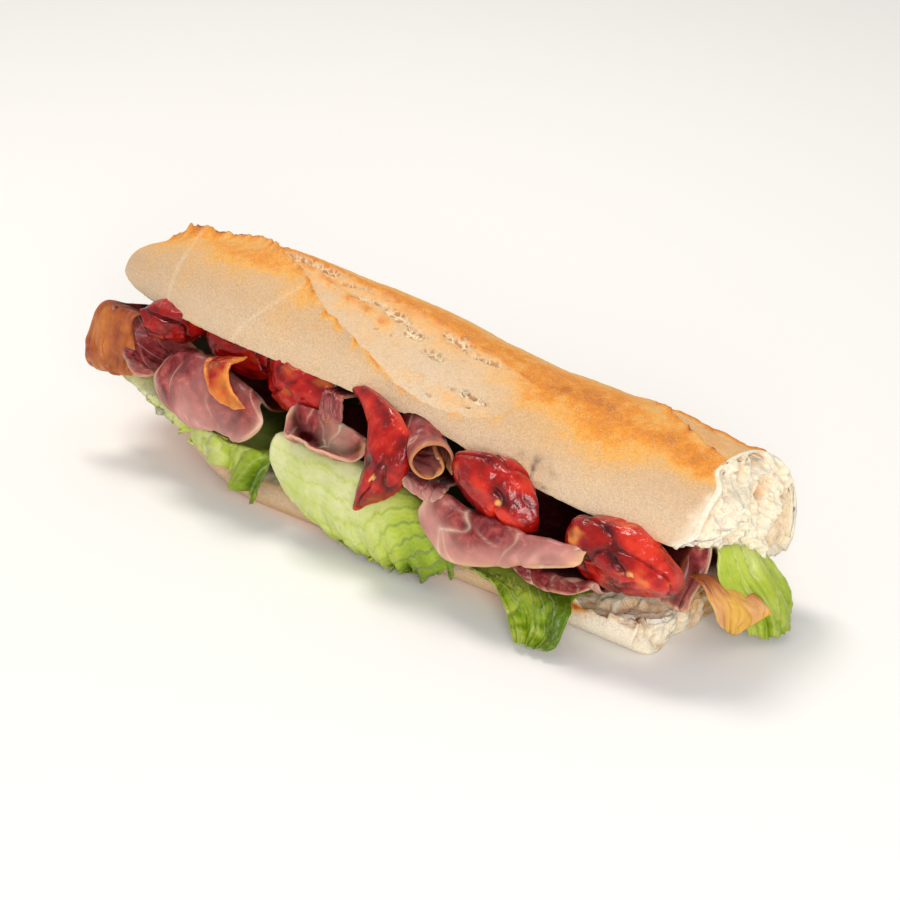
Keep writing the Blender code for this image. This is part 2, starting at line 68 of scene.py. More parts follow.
def chance(cell, seed):
    """A repeatable random number from 0 to 1 for each whole cell, from mixing its coordinates' bits."""
    mixed = cell[..., 0] * 73856093 ^ cell[..., 1] * 19349663 ^ cell[..., 2] * 83492791 ^ (seed * 40503 + 977)
    mixed = (mixed ^ (mixed >> 13)) * 1274126177 & 0x7FFFFFFF
    mixed = (mixed ^ (mixed >> 16)) * 668265263 & 0x7FFFFFFF
    return (mixed ^ (mixed >> 15)) / 0x7FFFFFFF


def cloud(points, size, seed, octaves=4):
    """Fractal noise, about -1 to 1: random heights on a lattice of that size, blended between corners."""
    total, weight = 0.0, 0.0
    for octave in range(octaves):
        scaled = points / (size * 0.5**octave) + 17.3 * octave
        cell = np.floor(scaled).astype(np.int64)
        part = scaled - cell
        part = part * part * (3 - 2 * part)
        level = 0
        for corner in np.ndindex(2, 2, 2):
            share = np.prod(np.where(corner, part, 1 - part), axis=-1)
            level = level + share * chance(cell + np.array(corner), seed + octave)
        total = total + (2 * level - 1) * 0.55**octave
        weight += 0.55**octave
    return total / weight * 1.5


def pits(points, size, seed, share=1.0):
    """Round pits, one in each of a share of cells of that size: 1 at a pit's middle, 0 outside it."""
    scaled = points / size
    cell = np.floor(scaled).astype(np.int64)
    depth = np.zeros(points.shape[:-1])
    for step in np.ndindex(3, 3, 3):
        near = cell + np.array(step) - 1
        middle = near + np.stack([chance(near, seed + k) for k in (1, 2, 3)], -1)
        radius = 0.25 + 0.35 * chance(near, seed + 4)
        away = np.linalg.norm(scaled - middle, axis=-1) / radius
        depth = np.maximum(depth, np.clip(1 - away**2, 0, 1) * (chance(near, seed + 5) < share))
    return depth


def mesh_piece(name, points, faces, shade, node, values):
    """A smooth-shaded closed piece from corners in millimetres and faces of four corners, or three and a -1.

    Each key of values becomes an attribute with one number for every corner.
    """
    points, faces = np.asarray(points, float).reshape(-1, 3), np.asarray(faces, np.int64)
    a, b, c, d = (points[faces[:, k]] for k in (0, 1, 2, 3))
    d = np.where(faces[:, 3:] < 0, c, d)
    if np.sum(np.cross(b - a, c - a) * (a + b + c)) + np.sum(np.cross(c - a, d - a) * (a + c + d)) < 0:
        faces = np.where(faces[:, 3:] < 0, faces[:, [0, 2, 1, 3]], faces[:, [0, 3, 2, 1]])
    mesh = bpy.data.meshes.new(name)
    mesh.vertices.add(len(points))
    mesh.vertices.foreach_set("co", points.ravel() * 0.001)
    sides = 3 + (faces[:, 3] >= 0)
    mesh.loops.add(int(sides.sum()))
    mesh.loops.foreach_set("vertex_index", faces[faces >= 0])
    mesh.polygons.add(len(faces))
    mesh.polygons.foreach_set("loop_start", np.concatenate([[0], np.cumsum(sides)[:-1]]))
    mesh.polygons.foreach_set("use_smooth", np.ones(len(faces), bool))
    mesh.update(calc_edges=True)
    for key, value in values.items():
        attribute = mesh.attributes.new(key, "FLOAT", "POINT")
        attribute.data.foreach_set("value", np.asarray(value, np.float32).ravel())
    mesh.materials.append(shade)
    piece = bpy.data.objects.new(name, mesh)
    bpy.context.scene.collection.objects.link(piece)
    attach(piece, "root")
    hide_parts(node)


def rings_faces(count, around, ends=(True, True)):
    """Faces of a stack of closed rings; a corner after them closes the first end, and the next the last."""
    i, j = np.meshgrid(np.arange(count - 1), np.arange(around), indexing="ij")
    k = (j + 1) % around
    corners = [i * around + j, i * around + k, (i + 1) * around + k, (i + 1) * around + j]
    faces = [np.stack(corners, -1).reshape(-1, 4)]
    j, none = np.arange(around), np.full(around, -1)
    k = (j + 1) % around
    if ends[0]:
        faces.append(np.stack([k, j, 0 * j + count * around, none], -1))
    if ends[1]:
        base = (count - 1) * around
        faces.append(np.stack([base + j, base + k, 0 * j + count * around + 1, none], -1))
    return np.concatenate(faces)


def linear(code):
    """A hex colour as it looks on a screen, as the linear red, green, blue and alpha that shaders take."""
    channels = [int(code[i : i + 2], 16) / 255 for i in (1, 3, 5)]
    return (*[c / 12.92 if c <= 0.04045 else ((c + 0.055) / 1.055) ** 2.4 for c in channels], 1)


def add(tree, kind, inputs=(), out=0, stops=(), **settings):
    """Adds a node with its settings and returns one output; inputs are values or sockets by place or name."""
    made = tree.nodes.new("ShaderNode" + kind)
    for key, value in settings.items():
        setattr(made, key, value)
    for i, (position, code) in enumerate(stops):
        element = made.color_ramp.elements[i] if i < 2 else made.color_ramp.elements.new(position)
        element.position, element.color = position, linear(code)
    for key, value in (inputs if isinstance(inputs, dict) else dict(enumerate(inputs))).items():
        if isinstance(value, bpy.types.NodeSocket):
            tree.links.new(value, made.inputs[key])
        else:
            made.inputs[key].default_value = value
    return made.outputs[out]


def new_material(name):
    """An empty material: its node tree, its shader, and the place on the piece in millimetres."""
    made = bpy.data.materials.new(name)
    made.use_nodes = True
    tree = made.node_tree
    metres = add(tree, "TexCoord", out="Object")
    place = add(tree, "VectorMath", (metres, (1000, 1000, 1000)), operation="MULTIPLY")
    return made, tree, tree.nodes["Principled BSDF"], place


def bread_material():
    """Baked crust that browns with the value toast, under flour and the dark value stain, and crumb where
    crumb is 1.

    On the crumb, toast is painted shade in its hollows and pits, and stain is juice and painted shade
    on its faces inside the sandwich.
    """
    made, tree, shader, place = new_material("baked crust and crumb")
    names = ("toast_and_shade", "crumb", "stain_and_shade", "flour", "pore")
    toast_and_shade, crumb, stain_and_shade, flour, pore = [add(tree, "Attribute", attribute_name=n, out="Fac") for n in names]
    blotch = add(tree, "TexNoise", {"Vector": place, "Scale": 0.22, "Detail": 6, "Roughness": 0.68})
    grain = add(tree, "TexNoise", {"Vector": place, "Scale": 1.9, "Detail": 3, "Roughness": 0.6})
    # Toasting gathers in mottled patches, so the even value is scaled by a patchy one
    patchy = add(tree, "Math", (blotch, 3.2, -0.75), operation="MULTIPLY_ADD", use_clamp=True)
    patchy = add(tree, "Math", (patchy, 0.9, 0.35), operation="MULTIPLY_ADD")
    level = add(tree, "Math", (patchy, toast_and_shade), operation="MULTIPLY")
    level = add(tree, "Math", (grain, 0.36, level), operation="MULTIPLY_ADD")
    level = add(tree, "Math", (level, 0.18), operation="SUBTRACT")
    browning = [
        (0, "#D5B28C"), (1, "#AE5E18"), (0.12, "#DBB07D"), (0.3, "#EDAE56"), (0.55, "#E8922C"),
        (0.82, "#D6822A"),
    ]
    crust = add(tree, "ValToRGB", (level,), stops=browning)
    # Fine pale grit of flour and tiny blisters on the crust, about 0.8 mm apart
    grit = add(tree, "TexVoronoi", {"Vector": place, "Scale": 1.25})
    speck = add(tree, "Math", (grit, -2.6, 1.0), operation="MULTIPLY_ADD", use_clamp=True)
    thinned = add(tree, "TexNoise", {"Vector": place, "Scale": 0.3, "Detail": 2})
    thinned = add(tree, "Math", (thinned, 4, -1.5), operation="MULTIPLY_ADD", use_clamp=True)
    speck = add(tree, "Math", (speck, thinned), operation="MULTIPLY")
    flecked = add(tree, "Math", (speck, 0.85), operation="MULTIPLY")
    crust = add(tree, "MixRGB", (flecked, crust, linear("#F6DDB8")))
    dusted = add(tree, "Math", (flour, 0.85), operation="MULTIPLY")
    crust = add(tree, "MixRGB", (dusted, crust, linear("#FAEBD2")))
    sand = add(tree, "TexNoise", {"Vector": place, "Scale": 1.3, "Detail": 2, "Roughness": 0.8})
    sand = add(tree, "MapRange", (sand, 0.35, 0.65, 0.88, 1.09))
    crust = add(tree, "VectorMath", (crust, sand), operation="MULTIPLY")
    # Burst crumb in the cuts: golden hollows between pale strands, where the value pore is high
    bent = add(tree, "TexNoise", {"Vector": place, "Scale": 0.35, "Detail": 2}, out="Color")
    bent = add(tree, "VectorMath", (bent, (3.5, 3.5, 3.5)), operation="MULTIPLY")
    bent = add(tree, "VectorMath", (place, bent), operation="ADD")
    bent = add(tree, "VectorMath", (bent, (0.7, 1, 1)), operation="MULTIPLY")
    strand = add(tree, "TexVoronoi", {"Vector": bent, "Scale": 0.42}, feature="DISTANCE_TO_EDGE")
    strand = add(tree, "MapRange", (strand, 0.05, 0.28, 1, 0))
    burst = add(tree, "MixRGB", (strand, linear("#B4722C"), linear("#FCE8C4")))
    crust = add(tree, "MixRGB", (pore, crust, burst))
    holes = add(tree, "TexNoise", {"Vector": place, "Scale": 0.6, "Detail": 6, "Roughness": 0.75})
    soft = add(tree, "ValToRGB", (holes,), stops=[(0.28, "#E6C496"), (0.58, "#FCF1DC"), (0.43, "#F7E6C8")])
    # On the crumb the value toast is painted shade: tan in its hollows and pits
    sunk = add(tree, "Math", (toast_and_shade, 1.3), operation="MULTIPLY", use_clamp=True)
    soft = add(tree, "MixRGB", (sunk, soft, linear("#DDA561")))
    surface = add(tree, "MixRGB", (crumb, crust, soft))
    # Dark red-brown where the value stain is high: a patch on the crust's low front edge by a tomato, and
    # juice with painted shade on the crumb's faces inside the sandwich
    surface = add(tree, "MixRGB", (stain_and_shade, surface, linear("#2E0B06")))
    tree.links.new(surface, shader.inputs["Base Color"])
    height = add(tree, "Math", (speck, 0.8, grain), operation="MULTIPLY_ADD")
    deep = add(tree, "Math", (crumb, 0.1, 0.5), operation="MULTIPLY_ADD")
    height = add(tree, "Math", (height, deep), operation="MULTIPLY")
    raised = add(tree, "Math", (strand, pore), operation="MULTIPLY")
    height = add(tree, "Math", (raised, 0.9, height), operation="MULTIPLY_ADD")
    bumped = add(tree, "Bump", {"Strength": 0.8, "Distance": 0.0009, "Height": height})
    tree.links.new(bumped, shader.inputs["Normal"])
    shader.inputs["Roughness"].default_value = 0.6
    shader.inputs["Specular IOR Level"].default_value = 0.3
    open_crumb = add(tree, "Math", (crumb, pore), operation="MAXIMUM")
    tree.links.new(add(tree, "MapRange", (open_crumb, 0, 1, 0.2, 0.45)), shader.inputs["Subsurface Weight"])
    shader.inputs["Subsurface Radius"].default_value = (1.0, 0.8, 0.6)
    shader.inputs["Subsurface Scale"].default_value = 0.0012
    return made


bread = bread_material()

cut_face_z = [
    (-130, 52.5), (-115, 49.5), (-87, 47), (-50, 45), (0, 43.2), (30, 41.5), (62, 35.5), (88, 32.2),
    (131, 30.7),
]
upper_thickness = [
    (-130, 26.5), (-90, 28.5), (-50, 29), (0, 27.8), (35, 25), (65, 28.5), (95, 30.7), (131, 28),
]
half_width, tilt, axis_y, taper_from = 31.0, math.radians(17.5), 1.5, -45.0


def taper(x, tip_x, power):
    """1 along the full loaf, falling to 0 at the pointed end on a superellipse of that power."""
    t = np.clip((taper_from - x) / (taper_from - tip_x), 0, 1)
    return (1 - t**power) ** (1 / power)


def upper_place(x, across, up):
    """A point of the upper half from its place in the half's own section, tilted to open at the front."""
    y = axis_y + across * math.cos(tilt) + up * math.sin(tilt)
    z = along(x, cut_face_z) - across * math.sin(tilt) + up * math.cos(tilt)
    return np.stack([x + 0 * y, y, z], -1)


def shell_depth(x):
    """How thick the crust's shell is: deeper than the baker's cuts, and thin where it is torn."""
    return 6.5 - 4.5 * smooth(x, 112, 131)


def patch(x, angle, spots):
    """The sum of soft round patches, each given as x, angle, length, height and strength."""
    total = 0
    for at, up, long, high, strength in spots:
        total = total + strength * np.exp(-(((x - at) / long) ** 2) - ((angle - up) / high) ** 2)
    return total


def upper_crust():
    """A half-ellipse swept along X; each point stands off it by the lips, cuts, pits and roughness there."""
    front_line = [
        (-130, 120), (-118, 98), (-105, 89), (-86, 92), (-76, 91), (-56, 73), (-45, 66), (-31, 52),
        (-14, 39), (2, 27), (14, 19), (28, 15.5), (44, 19), (56, 30), (65, 50), (75, 84), (84, 100),
        (95, 92), (111, 75), (122, 68), (133, 60),
    ]
    rear_line = [
        (-130, 150), (-112, 132), (-98, 124), (-88, 112), (-78, 98), (-48, 88), (-16, 81), (13, 75),
        (39, 72), (52, 65),
        (62, 60), (70, 76), (84, 108), (95, 113), (133, 110),
    ]
    cut_depth = [
        (-122, 0), (-110, 2), (-96, 2.6), (-80, 0.6), (-60, 1.6), (-35, 2.0), (15, 1.9), (45, 1.3),
        (62, 0.2), (78, 0), (90, 1), (110, 2), (133, 1.5),
    ]
    ear_height = [
        (-124, 0), (-112, 3.5), (-105, 5.2), (-97, 3.0), (-88, 2.6), (-78, 2.6), (-56, 2.2), (-25, 1.8),
        (20, 1.2), (60, 0.5), (78, 0), (92, 1), (112, 1.3), (133, 0.8),
    ]
    tip_x = -130 + 12 * np.linspace(0, 1, 40)[1:] ** 2
    x = np.concatenate([tip_x, np.linspace(-118, 130.3, 350)[1:]])[:, None]
    # Share runs from 0 to 1 on the front, to 2 across the cut and to 3 down the back
    front_share = np.linspace(0, 1, 84)[:-1]
    cut_share = 1 + np.linspace(0, 1, 62)[:-1] ** 1.2
    share = np.concatenate([front_share, cut_share, 2 + np.linspace(0, 1, 40)])[None]
    line = np.stack([x[:, 0], 0 * x[:, 0], 0 * x[:, 0]], -1)
    ragged = 2.2 * cloud(line, 9, 61)[:, None] + 0.8 * cloud(line, 2.6, 89, 2)[:, None]
    low = along(x, front_line) + ragged * smooth(x, -122, -110)
    high = np.maximum(along(x, rear_line) + 1.6 * cloud(line, 7, 62)[:, None], low + 5)
    behind = np.where(share < 2, low + (high - low) * (share - 1), high + (180 - high) * (share - 2))
    angle = np.where(share < 1, low * share, behind)
    across = np.clip(share - 1, 0, 1)
    size = taper(x, -130.2, 1.8)
    spot = np.stack([x + 0 * angle, angle * 0.54, 0 * angle], -1)
    depth = np.maximum(along(x, cut_depth), 0) * (1 - 0.7 * smooth(x, 122, 131))
    opened = np.clip(depth / 1.5, 0, 1) * ((share > 1) & (share < 2))
    ear = np.maximum(along(x, ear_height), 0) * (1 + 0.35 * cloud(line, 8, 63)[:, None])
    lip = ear * (1 + 0.25 * cloud(line, 2.2, 88, 2)[:, None])
    lip = lip * np.exp(-np.clip(low - angle, 0, 90) / 5.5) * (share <= 1)
    rear_lip = (0.8 + 0.6 * cloud(line, 5, 90, 3)[:, None]) * np.clip(depth, 0, 1)
    rear_lip = rear_lip * np.exp(-np.clip(angle - high, 0, 90) / 5) * (share >= 2)
    off = lip + rear_lip - depth * np.sin(np.pi * across) ** 0.45 * (share < 2)
    off = off + 0.45 * cloud(spot, 30, 64, 2)
    off = off + 0.16 * cloud(spot, 6, 65, 3) + 0.10 * cloud(spot, 1.6, 66, 2)
    warped = spot + 1.3 * np.stack([cloud(spot, 4, 77, 2), cloud(spot, 4, 78, 2), 0 * angle], -1)
    warped = warped * np.array([0.65, 1, 1])
    pore = cloud(warped, 3.6, 79, 3) * 1.1 + patch(x, angle, [
        (10, 56, 6.5, 5.5, 2.6), (1, 64, 6, 5.0, 2.3), (20, 49, 4.6, 3.8, 2.3), (-12, 70, 9, 3.8, 2.1),
        (-28, 77, 9, 3.2, 2.0), (12, 34, 2.2, 2.6, 1.2), (16, 30, 4, 2.2, 1.0), (37, 45, 2.4, 2.4, 1.3),
        (38, 66, 10, 3.4, 2.0), (24, 72, 8, 2.8, 1.6), (44, 33, 7, 3.4, 1.7), (30, 20, 5, 2.0, 0.9),
        (-2, 47, 4, 3, 1.4), (52, 50, 3, 3, 1.2), (-45, 84, 12, 3.6, 1.9), (-58, 88, 6, 3, 1.7),
    ])
    pore = smooth(pore, 0.9, 1.35)
    pored_relief = 0.45 * cloud(spot, 6, 67, 4) - 0.7 * pits(warped, 1.7, 69, 0.25) ** 0.7
    off = off + opened * (pored_relief - 2.0 * pore + 0.5 * np.exp(-(((pore - 0.25) / 0.2) ** 2)))
    ridge = np.exp(-(((across - 0.52) / 0.10) ** 2)) * smooth(x, -58, -45)
    ridge = ridge * (1 - smooth(x, -6, 6)) * (share > 1)
    off = off + 1.4 * ridge
    first_crease = along(angle, [(0, -87), (20, -89), (50, -93), (88, -101), (180, -101)])
    second_crease = along(angle, [(0, -52), (12, -49), (35, -41), (56, -36), (180, -36)])
    crease = np.exp(-(((x - first_crease) / 0.9) ** 2)) * (angle < 92)
    crease = crease + np.exp(-(((x - second_crease) / 0.8) ** 2)) * (angle < 56)
    off = off - 0.22 * crease
    off = off * np.minimum(1, size * 2) * np.sin(np.radians(angle)) ** 0.5
    edge = 0.5 * cloud(line, 3.5, 70)[:, None] - 1.2 * np.exp(-(((x - 6) / 1.2) ** 2))
    edge = edge * np.exp(-angle / 2.0)
    turn = np.radians(angle)
    half, thick = half_width * size, along(x, upper_thickness) * size**0.9
    out = -(half + off) * np.cos(turn)
    up = (thick + off) * np.sin(turn) + np.abs(edge) * 0.6
    late = np.clip((x - 112) / 19, 0, 1) ** 2
    bulge = 6 * late * np.clip(angle / 12, 0, 1) * np.clip((54 - angle) / 14, 0, 1)
    bulge = bulge + 0.9 * late * cloud(spot, 3.5, 71, 3)
    outside = upper_place(x, out, up) + np.stack([bulge, 0 * bulge, 0 * bulge], -1)
    inner_columns = 24
    inner_angle = np.radians(np.linspace(180, 0, inner_columns))[None]
    wall = np.minimum(shell_depth(x), 0.8 * thick)
    inner_across = -(half - 0.6 * wall) * np.cos(inner_angle)
    inside = upper_place(x, inner_across, (thick - wall) * np.sin(inner_angle) + 0.15)
    inside[..., 0] += np.interp(np.degrees(inner_angle), [0, 12, 40, 54], [0, 6, 6, 0]) * late
    rings = np.concatenate([outside, inside], 1)
    count, around = rings.shape[:2]
    points = np.concatenate([rings.reshape(-1, 3), [upper_place(np.array(-130.0), 0, 0.4)]])
    faces = rings_faces(count, around, (True, False))
    # The shell's end joins each outer corner of the last ring to the nearest of the fewer inner ones
    j = np.arange(len(share[0]))
    nearest = np.rint(j * (inner_columns - 1) / (len(j) - 1)).astype(int)
    near = (count - 1) * around + around - 1 - nearest
    outer_edge = (count - 1) * around + j
    rim = np.stack([outer_edge[:-1], outer_edge[1:], near[1:], near[:-1]], -1)
    rim[near[1:] == near[:-1], 3] = -1
    line_noise = 0.5 + 0.9 * cloud(line, 3.0, 74, 3)[:, None]
    toast_and_shade = 0.04 + 0.20 * smooth(angle, 30, 80) - 0.06 * smooth(angle, 100, 150)
    on_lip = 0.75 * np.exp(-np.clip(low - angle, 0, 90) / 3.0) * (share <= 1)
    toast_and_shade = toast_and_shade + on_lip * np.clip(ear / 1.6, 0, 1) * np.clip(line_noise, 0, 1.2)
    toast_and_shade = toast_and_shade + 0.40 * np.exp(-np.clip(angle - high, 0, 90) / 4) * (share >= 2) * np.clip(depth, 0, 1)
    toast_and_shade = toast_and_shade + patch(x, angle, [
        (-71, 62, 13, 14, 0.22), (-52, 62, 10, 8, 0.24), (-33, 44, 7, 6, 0.16), (-84, 76, 10, 10, 0.16),
        (-62, 74, 8, 8, 0.14), (79, 70, 12, 15, 0.36), (92, 59, 11, 14, 0.34), (110, 62, 11, 9, 0.44),
        (124, 53, 9, 11, 0.48), (66, 65, 9, 14, 0.34), (91, 41, 16, 12, 0.18), (48, 82, 22, 9, 0.3),
        (20, 88, 30, 8, 0.25), (-108, 80, 10, 14, 0.12), (-127, 60, 3, 60, 0.25), (60, 48, 6, 8, 0.2),
        (115, 25, 14, 20, -0.08), (40, 25, 20, 5, 0.12), (88, 46, 26, 18, 0.12), (52, 62, 10, 10, 0.15),
    ])
    toast_and_shade = toast_and_shade + 0.45 * ridge * np.clip(0.6 + cloud(spot, 5, 75, 3), 0, 1.2)
    toast_and_shade = toast_and_shade + 0.08 * cloud(spot, 12, 72, 4)
    in_cut = 0.30 * smooth(angle, 62, 84) * smooth(x, -34, 0) * (1 - smooth(x, 62, 84)) - 0.02
    in_cut = in_cut + 0.14 * np.clip(cloud(spot, 7, 76, 3), 0, 1)
    # Painted shade: browner in the deeper pits of the burst crumb
    in_cut = in_cut + 0.3 * np.clip(-pored_relief - 0.4, 0, 1)
    toast_and_shade = toast_and_shade + opened * in_cut
    # A dark red-brown patch on the crust's low front edge, beside the bright tomato
    stain_and_shade = patch(x, angle, [
        (76, 15, 4, 4, 0.30), (75, 8, 0.8, 4.5, 0.8), (79, 12, 5, 2.5, 0.25), (79, 3, 2.5, 1.5, 0.6),
        (70, 13, 2, 3, 0.35),
    ])
    stain_and_shade = np.clip(stain_and_shade * (0.4 + smooth(cloud(spot, 3, 73, 3), -0.3, 0.4)), 0, 0.75)
    torn = smooth(x + 1.2 * cloud(spot, 4, 87, 3), 129.4 - 3 * (1 - smooth(angle, 20, 45)), 130.6)
    flour = 0.25 * crease * (share < 1) + 0.3 * (1 - smooth(angle, 4, 34))
    crumb = np.maximum(opened * 0.25, torn)
    values = {"toast_and_shade": toast_and_shade, "crumb": crumb, "stain_and_shade": stain_and_shade, "flour": flour, "pore": pore * opened}
    for key, value in values.items():
        within = np.full((count, inner_columns), float(key == "crumb"))
        values[key] = np.append(np.concatenate([value, within], 1), 0.3)
    mesh_piece("crust_upper", points, np.concatenate([faces, rim]), bread, "bread_top", values)


upper_crust()

# The upper half's crumb
# Soft white wheat crumb that fills the crust: a rough cut face below, and a torn end where it was pulled
# apart, with open pores and a rag of crumb that hangs down at the back.


def upper_face_z(x, y):
    """The height of the upper half's cut face over (x, y)."""
    return along(x, cut_face_z) - (y - axis_y) * math.tan(tilt)


def crumb_relief(points, strength):
    """How far open crumb stands off its plain surface: torn lumps, then pores of two sizes."""
    rough = 1.5 * cloud(points, 9, 81, 3) + 1.0 * cloud(points, 3.2, 82, 3)
    return strength * (rough - 1.7 * pits(points, 4.2, 83, 0.6) - 0.9 * pits(points, 2.0, 84, 0.6))


def upper_crumb():
    """Rings of an arch and a flat face along X, then rings that shrink to the middle of the torn end."""
    tip_x = -127 + 10 * np.linspace(0, 1, 14)[:-1] ** 2
    x = np.concatenate([tip_x, np.linspace(-117, 104, 130), np.linspace(104.5, 131, 60)])[:, None]
    turn = np.radians(np.linspace(180, 0, 130))[None]
    flat = np.linspace(-0.985, 0.985, 112)[None, 1:-1]
    size = taper(x, -130.2, 1.8)
    half, thick = half_width * size, along(x, upper_thickness) * size**0.9
    late = np.clip((x - 112) / 19, 0, 1) ** 2
    where = np.stack([x + 0 * flat, flat * 31 + 0 * x, 0 * flat + 0 * x], -1)
    rag = 5 * np.clip((flat + 0.1) * 2, 0, 1) + 3.6 * cloud(where, 9, 85, 3) + 1.5 * cloud(where, 3.2, 96, 2)
    hang = late * rag * np.minimum(1, size * 2)
    wall = (np.minimum(shell_depth(x), 0.8 * thick) - 0.3) * (1 - 1.35 * smooth(x, 128.4, 129.8))
    up = np.concatenate([(thick - wall) * np.sin(turn), -hang], 1)
    across = np.concatenate([-(half - 0.6 * wall) * np.cos(turn), flat * (half - 0.5)], 1)[:, ::-1]
    up = up[:, ::-1]
    rings = upper_place(x, across, up)
    face = np.concatenate([0 * turn, 0 * flat + 1], 1)[:, ::-1]
    rings[..., 2] -= crumb_relief(rings, 0.35) * face * np.minimum(1, size * 2)
    bulge = 6 * late * smooth(np.degrees(turn), 0, 12) * (1 - smooth(np.degrees(turn), 40, 56))
    rings[..., 0] += np.concatenate([bulge, 0 * flat * late], 1)[:, ::-1]
    last = rings[-1]
    middle = last.mean(0)
    share = np.linspace(1, 0, 76)[1:-1, None]
    cap = middle + (last - middle) * share[..., None]
    reach = 131 + (last[:, 0] - 131) * share**2
    section = cap * np.array([0, 1, 1])
    pulled = 4.2 * cloud(section, 15, 86, 2) + 1.6 * cloud(section, 6, 87, 3) + crumb_relief(section, 1.7)
    # The crumb came away deeper at the lower back corner
    recess = smooth(cap[..., 1], 12, 17) * (1 - smooth(cap[..., 2], 29, 36))
    cap[..., 0] = reach + (pulled - 5.5 * recess) * smooth(1 - share, 0, 0.06)
    # Painted shade: tan in the torn end's hollows and in the deeper corner
    hollow = (0.55 * np.clip(0.1 - 0.30 * pulled, 0, 1) + 0.22 * recess) * smooth(1 - share, 0, 0.10)
    # Juice and painted shade: the cut face, inside the sandwich, is near black up to x 96 and clears by x 122
    juice_and_shade = smooth(-rings[..., 0], -122, -96) * face + 0 * rings[..., 0]
    rings = np.concatenate([rings, cap])
    count, around = rings.shape[:2]
    ends = [upper_place(np.array(-128.5), 0, 0.4), [rings[-1, :, 0].mean(), *middle[1:]]]
    points = np.concatenate([rings.reshape(-1, 3), ends])
    plain = np.zeros(len(points))
    stain_and_shade = plain.copy()
    stain_and_shade[: juice_and_shade.size] = 0.9 * juice_and_shade.ravel()
    toast_and_shade = plain.copy()
    toast_and_shade[juice_and_shade.size : -2] = hollow.ravel()
    values = {"toast_and_shade": toast_and_shade, "crumb": plain + 1, "stain_and_shade": stain_and_shade, "flour": plain}
    mesh_piece("crumb_upper", points, rings_faces(count, around), bread, "bread_top", values)


upper_crumb()

# The lower half
# The thinner bottom of the loaf, cut off in one stroke: a flat baked base, low rounded sides of pale crust,
# and rough crumb on top. Its pointed end curls up, and its other end is torn like the upper half's.
base_half_width = [(-122, 28), (-20, 28), (50, 25), (121, 25)]
rear_rim_z = [(-122, 26), (0, 24.5), (30, 23), (62, 19.5), (88, 16.5), (121, 15)]
front_rim_z, curl_height, tip_middle_z, torn_x = 10.5, 31.0, 7.0, 120.5


def lower_middle_z(x):
    """The height about which the lower half narrows to its tip, as it curls up."""
    return tip_middle_z + curl_height * np.clip((-42 - x) / 80, 0, 1) ** 1.5


def lower_face_z(x, y):
    """The height of the lower half's cut face at (x, y), from its front rim up to its rear one."""
    size = taper(x, -122, 1.6)
    front = lower_middle_z(x) + (front_rim_z - tip_middle_z) * size**0.8
    rear = lower_middle_z(x) + (along(x, rear_rim_z) - tip_middle_z) * size**0.8
    across = np.clip((y / np.maximum(half_width * size, 1) + 1) / 2, 0, 1)
    return front + (rear - front) * across


